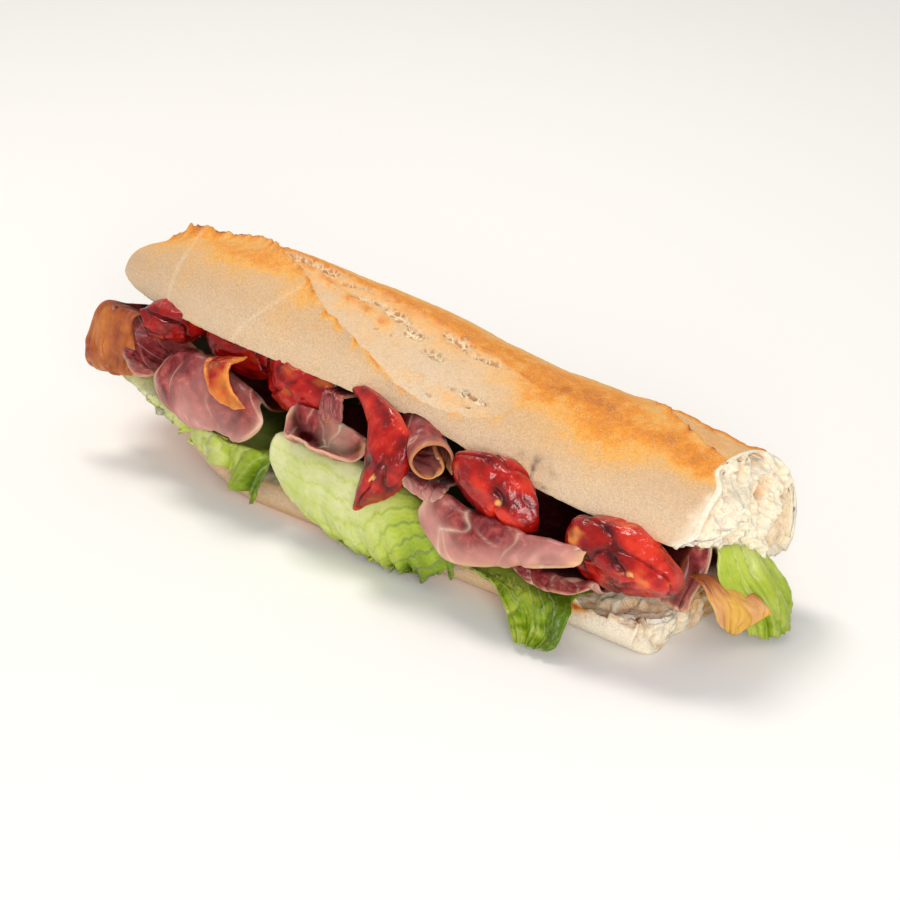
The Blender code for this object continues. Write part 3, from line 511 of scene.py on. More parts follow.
def lower_half():
    """Rings along X: down the front side, over the flat base, up the rear side and back over the cut face."""
    tip_x = -122 + 10 * np.linspace(0, 1, 28)[1:] ** 2
    x = np.concatenate([tip_x, np.linspace(-112, torn_x, 260)[1:]])[:, None]
    size = taper(x, -122, 1.6)
    middle, thick = lower_middle_z(x), size**0.8
    half, base = half_width * size, along(x, base_half_width) * size
    base_z = middle - tip_middle_z * thick
    down = np.linspace(0, 1, 26)[None]
    side_y = half + (base - half) * down**2.5 + 2.2 * size * np.sin(np.pi * down) ** 0.8 * (1 - 0.3 * down)
    rim_front, rim_rear = lower_face_z(x, -half), lower_face_z(x, half)
    fall = 1 - down**0.9
    flat = np.linspace(-1, 1, 40)[None, 1:-1] * base
    face = np.linspace(1, -1, 100)[None, 1:-1] * half
    y = np.concatenate([-side_y, flat, side_y[:, ::-1], face], 1)
    front_z = base_z + (rim_front - base_z) * fall
    rear_z = base_z + (rim_rear - base_z) * fall[:, ::-1]
    z = np.concatenate([front_z, base_z + 0 * flat, rear_z, lower_face_z(x, face) - 0.6 * thick], 1)
    rings = np.stack([x + 0 * y, y, z], -1)
    crumb = np.concatenate([0 * side_y, 0 * flat, 0 * side_y, 1 + 0 * face], 1)
    side_rough = 0.35 * fall**0.5 * down**0.3 + 0 * x
    rough = np.concatenate([side_rough, 0 * flat, side_rough[:, ::-1], 0 * face], 1)
    rings[..., 1] += rough * cloud(rings, 7, 91, 4) * np.sign(y)
    rings[..., 2] += crumb * (crumb_relief(rings, 0.45) + 0.3) * np.minimum(1, 2 * size)
    # Towards the torn end the cut face has loose clumps, and a lip along its front
    clump = smooth(cloud(rings, 5.5, 98, 2), 0.0, 0.5)
    lip = np.exp(-(((y + half) / 2.5) ** 2))
    rings[..., 2] += crumb * smooth(x, 84, 98) * (1.3 * lip + 2.0 * clump - 0.8)
    late = smooth(x, 106, torn_x)
    bend = 1.6 * cloud(rings, 11, 92, 2) - 1.2
    rings[..., 0] += late * bend
    rings[..., 2] += late * crumb * 1.2 * cloud(rings, 6, 93, 3)
    last = rings[-1]
    centre = last.mean(0)
    share = np.linspace(1, 0, 34)[1:-1, None]
    cap = centre + (last - centre) * share[..., None]
    pulled = 2.0 * cloud(cap * np.array([0, 1, 1]), 9, 95, 2) + crumb_relief(cap * np.array([0, 1, 1]), 1.2)
    cap[..., 0] = centre[0] + (last[:, 0] - centre[0]) * share**2
    cap[..., 0] += (pulled - 0.4) * smooth(1 - share, 0, 0.12)
    # Painted shade: tan in the torn end's hollows; tan also over its back half
    hollow = 0.55 * np.clip(0.1 - 0.35 * pulled, 0, 1)
    hollow = hollow + 0.5 * smooth(cap[..., 1], -9, 3) * np.clip(0.5 + cloud(cap, 3, 97, 3), 0, 1)
    rings = np.concatenate([rings, cap])
    count, around = rings.shape[:2]
    ends = [[-122, 0, lower_middle_z(-122)], [rings[-1, :, 0].mean(), *centre[1:]]]
    points = np.concatenate([rings.reshape(-1, 3), ends])
    points[:, 2] = np.maximum(points[:, 2], 0)
    side_toast = 0.02 + 0.30 * smooth(down, 0.55, 1) + 0.25 * np.exp(-down / 0.05)
    baked = np.concatenate([side_toast, 0 * flat[:1] + 0.6, side_toast[:, ::-1], 0 * face[:1]], 1)
    by_rim = np.concatenate([np.exp(-down / 0.12), 0 * flat[:1], 0 * down, 0 * face[:1]], 1)
    edge = patch(x, 0 * y, [(96, 0, 5, 9, 1.6)]) * by_rim
    long_rings = rings[: len(x)]
    # Painted shade: tan over the cut face, deeper in its pits and lighter on its clumps
    pitted = 0.4 * np.clip(-crumb_relief(long_rings, 0.6), 0, 1)
    hollow_face = crumb[: len(x)] * (0.16 - 0.14 * clump + pitted)
    baked = baked + 0.5 * edge + (1 - crumb) * 0.1 * cloud(long_rings, 14, 94, 3) + hollow_face
    toast_and_shade = np.concatenate([baked, hollow])
    crumb = np.concatenate([crumb, np.ones(cap.shape[:2])])
    # Juice and painted shade: the middle of the cut face, under the filling, is dark up to x 70 and clears by
    # x 96
    juice_and_shade = crumb * 0.85 * smooth(-rings[..., 0], -96, -70)
    juice_and_shade = juice_and_shade * smooth(rings[..., 1], -29, -22) * (1 - smooth(rings[..., 1], 24, 30))
    flour = (0.15 + 1.0 * smooth(rings[..., 0], 60, 105)) * (1 - crumb)
    flour[: len(x)] *= 1 - np.clip(edge, 0, 1)
    values = {
        "toast_and_shade": np.append(toast_and_shade, [0.3, 0]), "crumb": np.append(crumb, [0, 1]),
        "stain_and_shade": np.append(juice_and_shade, [0, 0]), "flour": np.append(flour, [0, 0]),
    }
    mesh_piece("loaf_lower", points, rings_faces(count, around), bread, "bread_bottom", values)


lower_half()

# Lettuce
# Four crisp leaves of green lettuce, about 1 mm thick and moist: pale and firm along the rib, brighter and
# thinner towards a frilled edge that hangs out of the loaf. They lie loose on the lower half.


def inner(start, end):
    """A row inside the loaf: each end is (x, y, share of the way from the lower face to the upper)."""
    def row(u):
        x, y, share = np.moveaxis(np.array(start) + (np.array(end) - np.array(start)) * u[..., None], -1, 0)
        low, high = lower_face_z(x, y) + 1.2, upper_face_z(x, y) - 1.3
        return np.stack([x, y, low + (high - low) * share], -1)
    return row


def outer(start, end, bow=(0, 0, 0)):
    """A sheet's row outside: a line between two points, bowed at its middle."""
    def row(u):
        u = u[..., None]
        return np.array(start) * (1 - u) + np.array(end) * u + 4 * u * (1 - u) * np.array(bow)
    return row


def draped(rows, u, v):
    """Points of a sheet: u runs along each row and v from the first row to the last, a cubic between two."""
    at = np.linspace(0, 1, len(rows))
    only = np.eye(len(rows))
    return sum(along(v, list(zip(at, only[k])))[..., None] * row(u) for k, row in enumerate(rows))


def normals(grid):
    """The unit normals of a grid of points."""
    normal = np.cross(np.gradient(grid, axis=1), np.gradient(grid, axis=0))
    return normal / np.maximum(np.linalg.norm(normal, axis=-1, keepdims=True), 1e-9)


def slab(name, grid, thick, shade, node, values):
    """A closed thin body: the grid shifted half its thickness to either side, with its four edges sewn up."""
    normal = normals(grid)
    points = np.stack([grid + normal * thick[..., None] / 2, grid - normal * thick[..., None] / 2])
    rows, columns = grid.shape[:2]
    number = np.arange(2 * rows * columns).reshape(2, rows, columns)
    body = [np.stack([n[:-1, :-1], n[:-1, 1:], n[1:, 1:], n[1:, :-1]], -1).reshape(-1, 4) for n in number]
    rim = [np.concatenate([n[0], n[1:, -1], n[-1, -2::-1], n[-2:0:-1, 0]]) for n in number]
    sewn = np.stack([rim[0], rim[1], np.roll(rim[1], -1), np.roll(rim[0], -1)], -1)
    faces = np.concatenate([body[0], body[1][:, ::-1], sewn])
    both = {key: np.stack([value, value]) for key, value in values.items()}
    mesh_piece(name, points, faces, shade, node, both)


def turned_name(node):
    """A piece's name: its node's words in the other order."""
    return "_".join(reversed(node.split("_")))


def lettuce_material():
    """Leaf green, from the cream of the rib to a bright edge, with pale veins and painted shade where the
    value dark is high; some light passes through.
    """
    made, tree, shader, place = new_material("lettuce leaf")
    names = ("green", "vein", "dark")
    green, vein, dark = [add(tree, "Attribute", attribute_name=n, out="Fac") for n in names]
    blotch = add(tree, "TexNoise", {"Vector": place, "Scale": 0.12, "Detail": 5, "Roughness": 0.65})
    level = add(tree, "Math", (blotch, 0.35, green), operation="MULTIPLY_ADD")
    level = add(tree, "Math", (level, 0.17), operation="SUBTRACT")
    greens = [(0, "#E4E3B2"), (1, "#56720A"), (0.22, "#CED788"), (0.5, "#B5C448"), (0.75, "#8CA31E")]
    leaf = add(tree, "ValToRGB", (level,), stops=greens)
    veined = add(tree, "Math", (vein, 0.25), operation="MULTIPLY")
    leaf = add(tree, "MixRGB", (veined, leaf, linear("#DDE3A6")))
    # Painted shade: near black where the value dark is high
    leaf = add(tree, "MixRGB", (dark, leaf, linear("#1C1604")))
    tree.links.new(leaf, shader.inputs["Base Color"])
    cells = add(tree, "TexNoise", {"Vector": place, "Scale": 0.8, "Detail": 4, "Roughness": 0.6})
    bumped = add(tree, "Bump", {"Strength": 0.25, "Distance": 0.0006, "Height": cells})
    tree.links.new(bumped, shader.inputs["Normal"])
    # The painted shade also takes away the sheen
    tree.links.new(add(tree, "MapRange", (dark, 0.3, 0.9, 0.26, 0.0)), shader.inputs["Specular IOR Level"])
    shader.inputs["Roughness"].default_value = 0.32
    shader.inputs["Subsurface Weight"].default_value = 0.35
    shader.inputs["Subsurface Radius"].default_value = (0.8, 1.0, 0.2)
    shader.inputs["Subsurface Scale"].default_value = 0.003
    return made


lettuce = lettuce_material()


def leaf(
    node, rows, seed, frill, waves, free_from, green_from, inside, ends=((0, 1), (1, 1)),
    right=((0, 1), (1, 1)), size=(210, 130), vein_count=9, lengthwise=0, greener=0, crisp=0.6,
):
    """A leaf over its rows, with three sets of folds that grow towards its free edge.

    They grow as free, free**2 and free**3, and each set has about twice as many folds as the one before.
    """
    a, b = np.meshgrid(np.linspace(0, 1, size[0]), np.linspace(0, 1, size[1]))
    strip = np.stack([a * 60, 0 * a, 0 * a + seed], -1)
    b = 1 - (1 - b) ** 1.25
    u = a * along(b, right)
    wild = along(a, ((0, frill[0]), (1, frill[1])))
    nicks = 0.05 * (0.5 + 0.5 * cloud(strip, 7, seed, 3))
    nicks = nicks + 0.018 * np.abs(np.sin(a * waves * 9 + 3 * cloud(strip, 12, seed + 1)))
    v = b * along(a, ends) * (1 - nicks * np.clip(0.2 + wild, 0, 1))
    u = u + 0.02 * np.sin(np.pi * a) * cloud(np.stack([b * 30, a * 4, 0 * a], -1), 8, seed + 2)
    grid = draped(rows, u, v)
    free = smooth(v, free_from, 1)
    place = np.stack([a * 60, b * 30, 0 * a], -1)
    warp = cloud(place, 16, seed + 3, 3)
    folds = free * np.sin(2 * np.pi * waves * a + 2.5 * warp + seed)
    folds = folds + 0.55 * free**2 * np.sin(2 * np.pi * 2.3 * waves * a + 4 * warp + 2 * b + seed)
    folds = folds + 0.25 * free**3 * np.sin(2 * np.pi * 5.1 * waves * a + 7 * warp + 5 * b + seed)
    line = (a * (1 - lengthwise) + (b + 0.25 * a * a) * lengthwise) * vein_count
    line = line + (1.6 - lengthwise) * warp + 1.2 * b
    veins = (1 - np.abs(np.sin(np.pi * line))) ** 7
    veins = veins + 0.5 * (1 - np.abs(np.sin(np.pi * (2.7 * line + 5 * b)))) ** 8
    crinkled = np.abs(cloud(grid, 4.5, seed + 6, 3))
    high = wild * folds - 0.30 * veins * (1 - 0.5 * free) + crisp * (0.25 + 1.9 * free) * crinkled
    grid = grid + normals(grid) * (high + 0.35 * cloud(grid, 14, seed + 4, 2))[..., None]
    grid[..., 2] = np.maximum(grid[..., 2], 0.45)
    edge = np.minimum(np.minimum(a, 1 - a) * 2, 1 - b)
    thick = (1.1 - 0.6 * free) * (0.4 + 0.6 * smooth(edge, 0, 0.03))
    green = smooth(v, *green_from) * 0.75 + greener * a**2 + 0.10 * folds * free + 0.16 * warp
    green = green + 0.6 * crisp * (0.35 - crinkled) * (0.3 + free)
    green = green + 0.5 * lengthwise * (veins - 0.2) * (0.4 + a)
    # Painted shade: near black inside the loaf, below the share inside of the way out, and darker in fold
    # troughs near the free edge
    dark = np.maximum(0.30 * np.clip(-folds, 0, 1) * free, 0.92 * (1 - smooth(v, *inside)))
    values = {"green": green, "vein": np.clip(veins, 0, 1), "dark": dark}
    slab(turned_name(node), grid, thick, lettuce, node, values)


leaf("lettuce_left", [
    inner((-96, 15, 0.03), (-36, 23, 0.03)),
    inner((-104, -9, 0.03), (-34, -14, 0.03)),
    outer((-110, -19, 31), (-29, -33, 24), (8, -6, -5)),
    outer((-112, -24, 27), (-26, -38, 22), (0, -3, 0)),
    outer((-108, -26, 24.5), (-35, -39, 3), (2, -2, 5)),
], 21, (-0.4, 2.4), 4, 0.4, (0.8, 1.8), (0.2, 0.34),
    ends=((0, 0.86), (0.1, 0.95), (0.8, 1), (1, 1)), greener=0.85)
leaf("lettuce_middle", [
    inner((-24, 23, 0.03), (48, 23, 0.03)),
    inner((-25, -16, 0.1), (50, -16, 0.05)),
    outer((-26, -32, 31), (50, -33, 22), (0, 0, 5)),
    outer((-25, -38, 24), (53, -38, 19), (0, -3, 2)),
    outer((-17, -38, 13), (54, -38, 10), (0, -3, -3)),
    outer((-8, -37, 7.5), (50, -36, 6), (0, -1, -4)),
], 22, (0.1, 2.2), 6, 0.6, (0.3, 1.6), (0.26, 0.38),
    ends=((0, 0.9), (0.1, 0.98), (0.9, 1), (1, 0.96)), vein_count=12, lengthwise=0.9, greener=0.7)
leaf("lettuce_front", [
    inner((56, 23, 0.03), (112, 23, 0.03)),
    inner((53, -16, 0.03), (112, -16, 0.03)),
    outer((51, -34, 13), (109, -33, 15)),
    outer((70, -39, 13), (109, -40, 14), (0, -2, 0)),
    outer((81, -45, 8), (105, -45, 7)),
    outer((88, -50, 1.5), (97, -48.5, 2)),
], 23, (1.3, 0.9), 2.2, 0.3, (-0.4, 0.8), (0.26, 0.38),
    right=((0, 0.78), (0.4, 0.8), (0.55, 0.82), (0.8, 0.85), (1, 1)), greener=0.3, vein_count=4)
leaf("lettuce_end", [
    inner((98, 0, 0.8), (98, 20, 0.8)),
    inner((118, -6, 0.75), (118, 22, 0.72)),
    outer((128, -5, 31), (131, 14, 24), (1, 0, 1)),
    outer((131, -7, 22), (136, 19.5, 14.5), (3, 0, 2)),
    outer((136, -1, 9), (139, 20, 7), (5, -1, 1)),
    outer((139, 0.5, 1.3), (140, 17.5, 1.3), (6, -3, 0)),
], 24, (1.2, 1.2), 1.6, 0.2, (-0.6, 1.4), (0.18, 0.3), size=(140, 170), vein_count=4, crisp=0.35)

# Cured ham
# Eleven slices of air-dried ham, about 1 mm thick, moist and slightly see-through: purple-red lean meat,
# white fat along one side and in fine veins, amber where the edges have dried. Folded or rolled by hand.


def ham_material():
    """Lean meat; fat where the value fat is high, with a painted highlight along the rims; dried amber rims
    where the value amber is high; painted shade where the value deep is high.
    """
    made, tree, shader, place = new_material("cured ham")
    names = ("fat", "amber", "pale", "deep")
    fat, amber, pale, deep = [add(tree, "Attribute", attribute_name=n, out="Fac") for n in names]
    fibre = {"Vector": place, "Scale": 0.22, "Detail": 6, "Roughness": 0.65, "Distortion": 0.6}
    reds = [(0.28, "#4A0D16"), (0.72, "#C86F60"), (0.42, "#7A2429"), (0.56, "#9E3D3E")]
    lean = add(tree, "ValToRGB", (add(tree, "TexNoise", fibre),), stops=reds)
    # Paler where the value pale is high: towards the free edge this is painted light, for light passing
    # through the thin slice
    lean = add(tree, "MixRGB", (pale, lean, linear("#D79C92")))
    # Painted shade: near black where the value deep is high
    lean = add(tree, "MixRGB", (deep, lean, linear("#2A0606")))
    # Pale fat, which along the rims is also a painted highlight
    lean = add(tree, "MixRGB", (fat, lean, linear("#EAC7AC")))
    broad = add(tree, "TexNoise", {"Vector": place, "Scale": 0.07, "Detail": 4, "Roughness": 0.6})
    dried = add(tree, "ValToRGB", (broad,), stops=[(0.3, "#8A3A20"), (0.7, "#D68C42"), (0.5, "#BC6830")])
    dried = add(tree, "MixRGB", (pale, dried, linear("#DDAA4E")))
    lean = add(tree, "MixRGB", (amber, lean, dried))
    tree.links.new(lean, shader.inputs["Base Color"])
    grain = add(tree, "TexNoise", {"Vector": place, "Scale": 1.1, "Detail": 5, "Roughness": 0.65})
    bumped = add(tree, "Bump", {"Strength": 0.3, "Distance": 0.0005, "Height": grain})
    tree.links.new(bumped, shader.inputs["Normal"])
    shader.inputs["Roughness"].default_value = 0.27
    # The painted shade also takes away the sheen
    tree.links.new(add(tree, "MapRange", (deep, 0.3, 0.9, 0.28, 0.0)), shader.inputs["Specular IOR Level"])
    shader.inputs["Subsurface Weight"].default_value = 0.35
    shader.inputs["Subsurface Radius"].default_value = (1.0, 0.35, 0.25)
    shader.inputs["Subsurface Scale"].default_value = 0.002
    return made


ham = ham_material()


def slice_of_ham(
    node, grid, a, b, seed, amber=0.5, pale=0.3, fat_rim=0.5, wrinkle=0.6, pleats=3, lean=0.45, tint=0,
    hollow=(9, 1), veined=0.8,
):
    """Wrinkles run along the slice, and fat lies in lines that wander across it and in a rim along its edges
    at a = 0, a = 1 and b = 1, where it is also a painted highlight on the thin edge.

    Painted shade darkens it inside the loaf, where b is below lean, in the troughs of its pleats, and in
    the hollow, given by its place and width on b.
    """
    place = np.stack([a * 30, b * 30, 0 * a + seed], -1)
    warp = cloud(place, 12, seed, 3)
    pleat = np.sin(2 * np.pi * (pleats * a + 1.4 * warp)) * smooth(b, 0.3, 0.8)
    crinkle = 1.4 * cloud(grid, 13, seed + 1, 2) + 1.1 * pleat + 0.14 * cloud(grid, 3.2, seed + 2, 2)
    ridge = (1 - np.abs(np.sin(np.pi * (2.6 * a + 0.4 * warp + 0.7 * b)))) ** 14
    ridge = ridge * np.clip(0.6 + 0.9 * cloud(place, 7, seed + 9, 2), 0, 1)
    grid = grid + normals(grid) * (wrinkle * crinkle + 0.25 * ridge)[..., None]
    grid[..., 2] = np.maximum(grid[..., 2], 0.7)
    edge = np.minimum(np.minimum(a, 1 - a), 1 - b)
    branch = (1 - np.abs(np.sin(np.pi * (1.7 * b - 2.1 * a + 0.4 * warp)))) ** 16
    vein = veined * np.clip(ridge + 0.7 * branch * smooth(cloud(place, 9, seed + 8, 2), -0.2, 0.4), 0, 1)
    # A pale rim along the edges at a = 0, a = 1 and b = 1: fat and a painted highlight on the thin edge
    rim = np.exp(-((edge / 0.035) ** 2)) * fat_rim
    fat = np.clip(vein + rim + 0.4 * smooth(cloud(place, 20, seed + 3, 2), 0.3, 0.9), 0, 1)
    fat = fat * smooth(b, lean - 0.2, lean)
    dried = amber * np.exp(-np.maximum(edge, 0) / 0.05) * smooth(cloud(place, 14, seed + 4, 2), -0.6, 0.5)
    thick = 1.15 * (0.35 + 0.65 * smooth(edge, 0, 0.04))
    # Painted shade: darker inside the loaf, in the troughs of the pleats and in the hollow
    deep = (1 - smooth(b, lean - 0.15, lean + 0.1)) * 0.9 + 0.25 * np.clip(-pleat, 0, 1)
    deep = np.clip(deep + 0.9 * np.exp(-(((b - hollow[0]) / hollow[1]) ** 2)), 0, 1)
    amber_level = np.clip(dried + tint * (0.8 + 0.8 * warp) * smooth(b, 0.3, 0.5), 0, 1)
    # Paler towards the free edge, with random patches; towards the edge this is painted light passing through
    # the thin slice
    pale_level = np.clip(pale * (smooth(b, 0.5, 1) + 0.6 * warp), 0, 1)
    values = {"fat": fat, "amber": amber_level, "pale": pale_level, "deep": deep}
    slab(turned_name(node), grid, thick, ham, node, values)


def ham_sheet(node, rows, seed, ripple=(0, 1), round_off=0.12, size=(100, 92), **looks):
    """A slice over its rows, its corners drawn in by round_off |2a - 1|^4 and its free edge rippled."""
    a, b = np.meshgrid(np.linspace(0, 1, size[0]), np.linspace(0, 1, size[1]))
    strip = np.stack([a * 40, 0 * a, 0 * a + seed], -1)
    v = b * (1 - round_off * np.abs(2 * a - 1) ** 4 - 0.05 * (0.5 + 0.5 * cloud(strip, 11, seed, 3)))
    u = 0.5 + (a - 0.5) * (1 - 0.05 * cloud(np.stack([b * 30, 0 * a, 0 * a], -1), 9, seed + 7, 2))
    grid = draped(rows, u, v)
    wave = ripple[0] * v**2 * np.sin(2 * np.pi * ripple[1] * u + 2 * v)
    slice_of_ham(node, grid + normals(grid) * wave[..., None], a, b, seed, **looks)


ham_sheet("ham_tip", [
    inner((-104, 7, 0.45), (-90, 10, 0.45)),
    outer((-109, -19, 49), (-93, -20, 50)),
    outer((-113, -28, 51), (-97, -28, 51), (0, -2, 1)),
    outer((-119, -31, 38), (-97, -29.5, 41), (0, -3, 0)),
    outer((-118, -32, 31), (-95, -30.5, 33), (0, -3, 0)),
    outer((-112, -29, 28.5), (-95, -29, 30)),
], 31, (0.3, 1), amber=1.0, pale=0.1, tint=0.85)
ham_sheet("ham_band", [
    outer((-106, -31, 54), (-90, -15, 46)),
    outer((-105, -32, 46), (-90, -14, 43), (0, 0, -2)),
    outer((-100, -33, 39), (-82, -14, 39), (0, 0, -1)),
    outer((-94, -34, 34), (-76, -14, 38)),
    outer((-87, -34, 31), (-72, -14, 38), (0, 0, 2)),
], 32, pale=0.3, lean=0.1, amber=0.9)
ham_sheet("ham_drape", [
    inner((-70, 20, 0.42), (-40, 22, 0.4)),
    inner((-72, -18, 0.5), (-38, -18, 0.45)),
    outer((-75, -31, 44), (-36, -31, 38), (0, 0, 6)),
    outer((-80, -36, 37), (-30, -36, 35), (0, -2, 2)),
    outer((-74, -38, 30), (-33, -38, 30), (0, -2, -1)),
    outer((-64, -38, 26), (-42, -38, 27), (0, 0, -1)),
], 33, (0.8, 1.5), pale=1.0, wrinkle=0.6, pleats=2.2)
ham_sheet("ham_petal", [
    inner((-17, 22, 0.42), (9, 22, 0.42)),
    outer((-18, -24, 38), (10, -24, 36)),
    outer((-20, -31, 43), (12, -31, 38.5), (0, 0, 2)),
    outer((-20, -34.5, 40), (13, -34, 36.5)),
    outer((-21, -38, 35.5), (13, -37, 34), (0, -1, 0)),
    outer((-22, -42, 39.5), (12, -40.5, 35.5), (0, -1, 0)),
], 34, pale=0.35, wrinkle=0.35, pleats=1.5, hollow=(0.74, 0.10), fat_rim=0.8, round_off=0.36)
ham_sheet("ham_fold", [
    inner((-8, 8, 0.85), (-1, 8, 0.85)),
    outer((-9, -24, 49), (-1, -24, 49)),
    outer((-8, -31, 48), (0, -30, 49)),
    outer((-7, -33.5, 41), (3, -32, 41)),
], 35, pale=0.3, wrinkle=0.3, fat_rim=0.2)
ham_sheet("ham_point", [
    inner((30, 21, 0.42), (44, 21, 0.42)),
    outer((30, -24, 33.5), (46, -24, 33)),
    outer((29, -36, 37), (49, -36, 36), (0, 0, -1)),
    outer((34, -40, 36), (51, -39, 35)),
    outer((41, -40.5, 32.5), (49, -40, 32.5)),
], 36, pale=0.9, amber=0.3)
ham_sheet("ham_wide", [
    inner((54, 22, 0.3), (98, 22, 0.3)),
    inner((52, -18, 0.35), (100, -18, 0.3)),
    outer((46, -31, 30), (104, -30, 26), (0, 0, -4)),
    outer((44, -38.5, 36), (106, -37, 35.5), (0, -1, -3)),
    outer((42.5, -43.5, 28), (105, -40, 31), (0, -2, -2)),
    outer((45, -43.5, 17), (99, -41, 27), (0, -1, -3)),
], 37, (2.2, 1.3), pale=0.9, size=(130, 92), wrinkle=0.6, pleats=1.8, fat_rim=0.5, veined=1.0)
ham_sheet("ham_under", [
    inner((76, 4, 0.12), (102, 4, 0.12)),
    outer((75, -26, 17), (106, -26, 17)),
    outer((74, -36, 21), (107, -35, 23), (0, 0, -1)),
    outer((82, -38.5, 16), (104, -37, 19), (0, -1, -1)),
], 38, pale=0.0, wrinkle=0.5)
ham_sheet("ham_end", [
    outer((106, -19.5, 17), (126, -21, 22)),
    outer((106, -19.5, 22), (127, -20, 30)),
    outer((106, -14, 25), (127, -12, 37)),
    outer((106, -8.5, 22), (127, -5, 32)),
    outer((106, -9, 17), (127, -7, 23)),
    outer((106, -12, 14.5), (127, -14, 16)),
    outer((106, -15, 13.5), (127, -18, 12)),
], 39, pale=0.3, round_off=0.03, size=(80, 120), wrinkle=0.4, pleats=1.2, fat_rim=0.8)
ham_sheet("ham_tan", [
    inner((104, -1, 0.35), (104, 18, 0.35)),
    inner((117, -6, 0.3), (117, 12, 0.3)),
    outer((127.5, -13, 23), (131, 3, 18)),
    outer((133, -11, 14), (142, 3, 13)),
    outer((133, -8, 5), (143, 2, 9), (-1, 0, -3)),
], 40, (0.9, 1.3), amber=0.6, pale=1.6, tint=0.8, fat_rim=0.9, wrinkle=0.4, pleats=1.2)


def ham_tube():
    """A slice rolled about a line: its radius grows with each turn, and a little towards the front end."""
    a, b = np.meshgrid(np.linspace(0, 1, 150), np.linspace(0, 1, 70))
    start, end = np.array((22, -21, 46.5)), np.array((46, -39.5, 44.5))
    axis = (end - start) / np.linalg.norm(end - start)
    side = np.cross(axis, (0, 0, 1))
    side /= np.linalg.norm(side)
    over = np.cross(side, axis)
    angle = np.radians(120 + 455 * a)
    ragged = 0.06 * cloud(np.stack([a * 30, 0 * a, 0 * a], -1), 8, 301, 3)
    v = b * (0.97 + ragged)
    uneven = 0.5 * cloud(np.stack([a * 20, v * 8, 0 * a], -1), 9, 302, 2)
    radius = 2.9 + 0.4 * v + 3.7 * a + uneven + 1.0 * smooth(v, 0.75, 1) * smooth(a, 0.5, 1)
    spoke = np.cos(angle)[..., None] * side + np.sin(angle)[..., None] * over
    grid = start + (end - start) * v[..., None] + radius[..., None] * spoke
    slice_of_ham("ham_tube", grid, a, b, 303, amber=0.9, pale=0.25, wrinkle=0.25)


ham_tube()

# Roasted tomato
# Six soft pieces of oven-roasted tomato and a peeled strip of skin: wet, dark red flesh that has shrunk into
# wrinkles, with yellowish streaks and pale seeds. They lie over the ham, held by their own juice.


def tomato_material():
    """Wet flesh, lighter in random patches, with painted shade in its folds and painted light towards its
    lit end (value deep), yellow streaks and pale seeds (streak and seed).
    """
    made, tree, shader, place = new_material("roasted tomato")
    names = ("deep", "streak", "seed")
    deep, streak, seed = [add(tree, "Attribute", attribute_name=n, out="Fac") for n in names]
    blotch = add(tree, "TexNoise", {"Vector": place, "Scale": 0.16, "Detail": 5, "Roughness": 0.55})
    # Painted shade and light: deep darkens the flesh in its folds, and below zero lightens its lit end
    level = add(tree, "Math", (deep, -0.22, blotch), operation="MULTIPLY_ADD")
    reds = [(0.22, "#420303"), (0.80, "#D6341E"), (0.40, "#7E0B09"), (0.58, "#AC140E")]
    flesh = add(tree, "ValToRGB", (level,), stops=reds)
    flesh = add(tree, "MixRGB", (streak, flesh, linear("#E8903C")))
    flesh = add(tree, "MixRGB", (seed, flesh, linear("#E2A65C")))
    tree.links.new(flesh, shader.inputs["Base Color"])
    skin = {"Vector": place, "Scale": 0.5, "Detail": 3, "Roughness": 0.5, "Distortion": 0.8}
    bumped = add(tree, "Bump", {"Strength": 0.4, "Distance": 0.0012, "Height": add(tree, "TexNoise", skin)})
    tree.links.new(bumped, shader.inputs["Normal"])
    shader.inputs["Roughness"].default_value = 0.2
    shader.inputs["Specular IOR Level"].default_value = 0.25
    shader.inputs["Coat Weight"].default_value = 0.3
    shader.inputs["Coat Roughness"].default_value = 0.06
    shader.inputs["Subsurface Weight"].default_value = 0.2
    shader.inputs["Subsurface Radius"].default_value = (1.0, 0.2, 0.1)
    shader.inputs["Subsurface Scale"].default_value = 0.002
    return made


tomato = tomato_material()


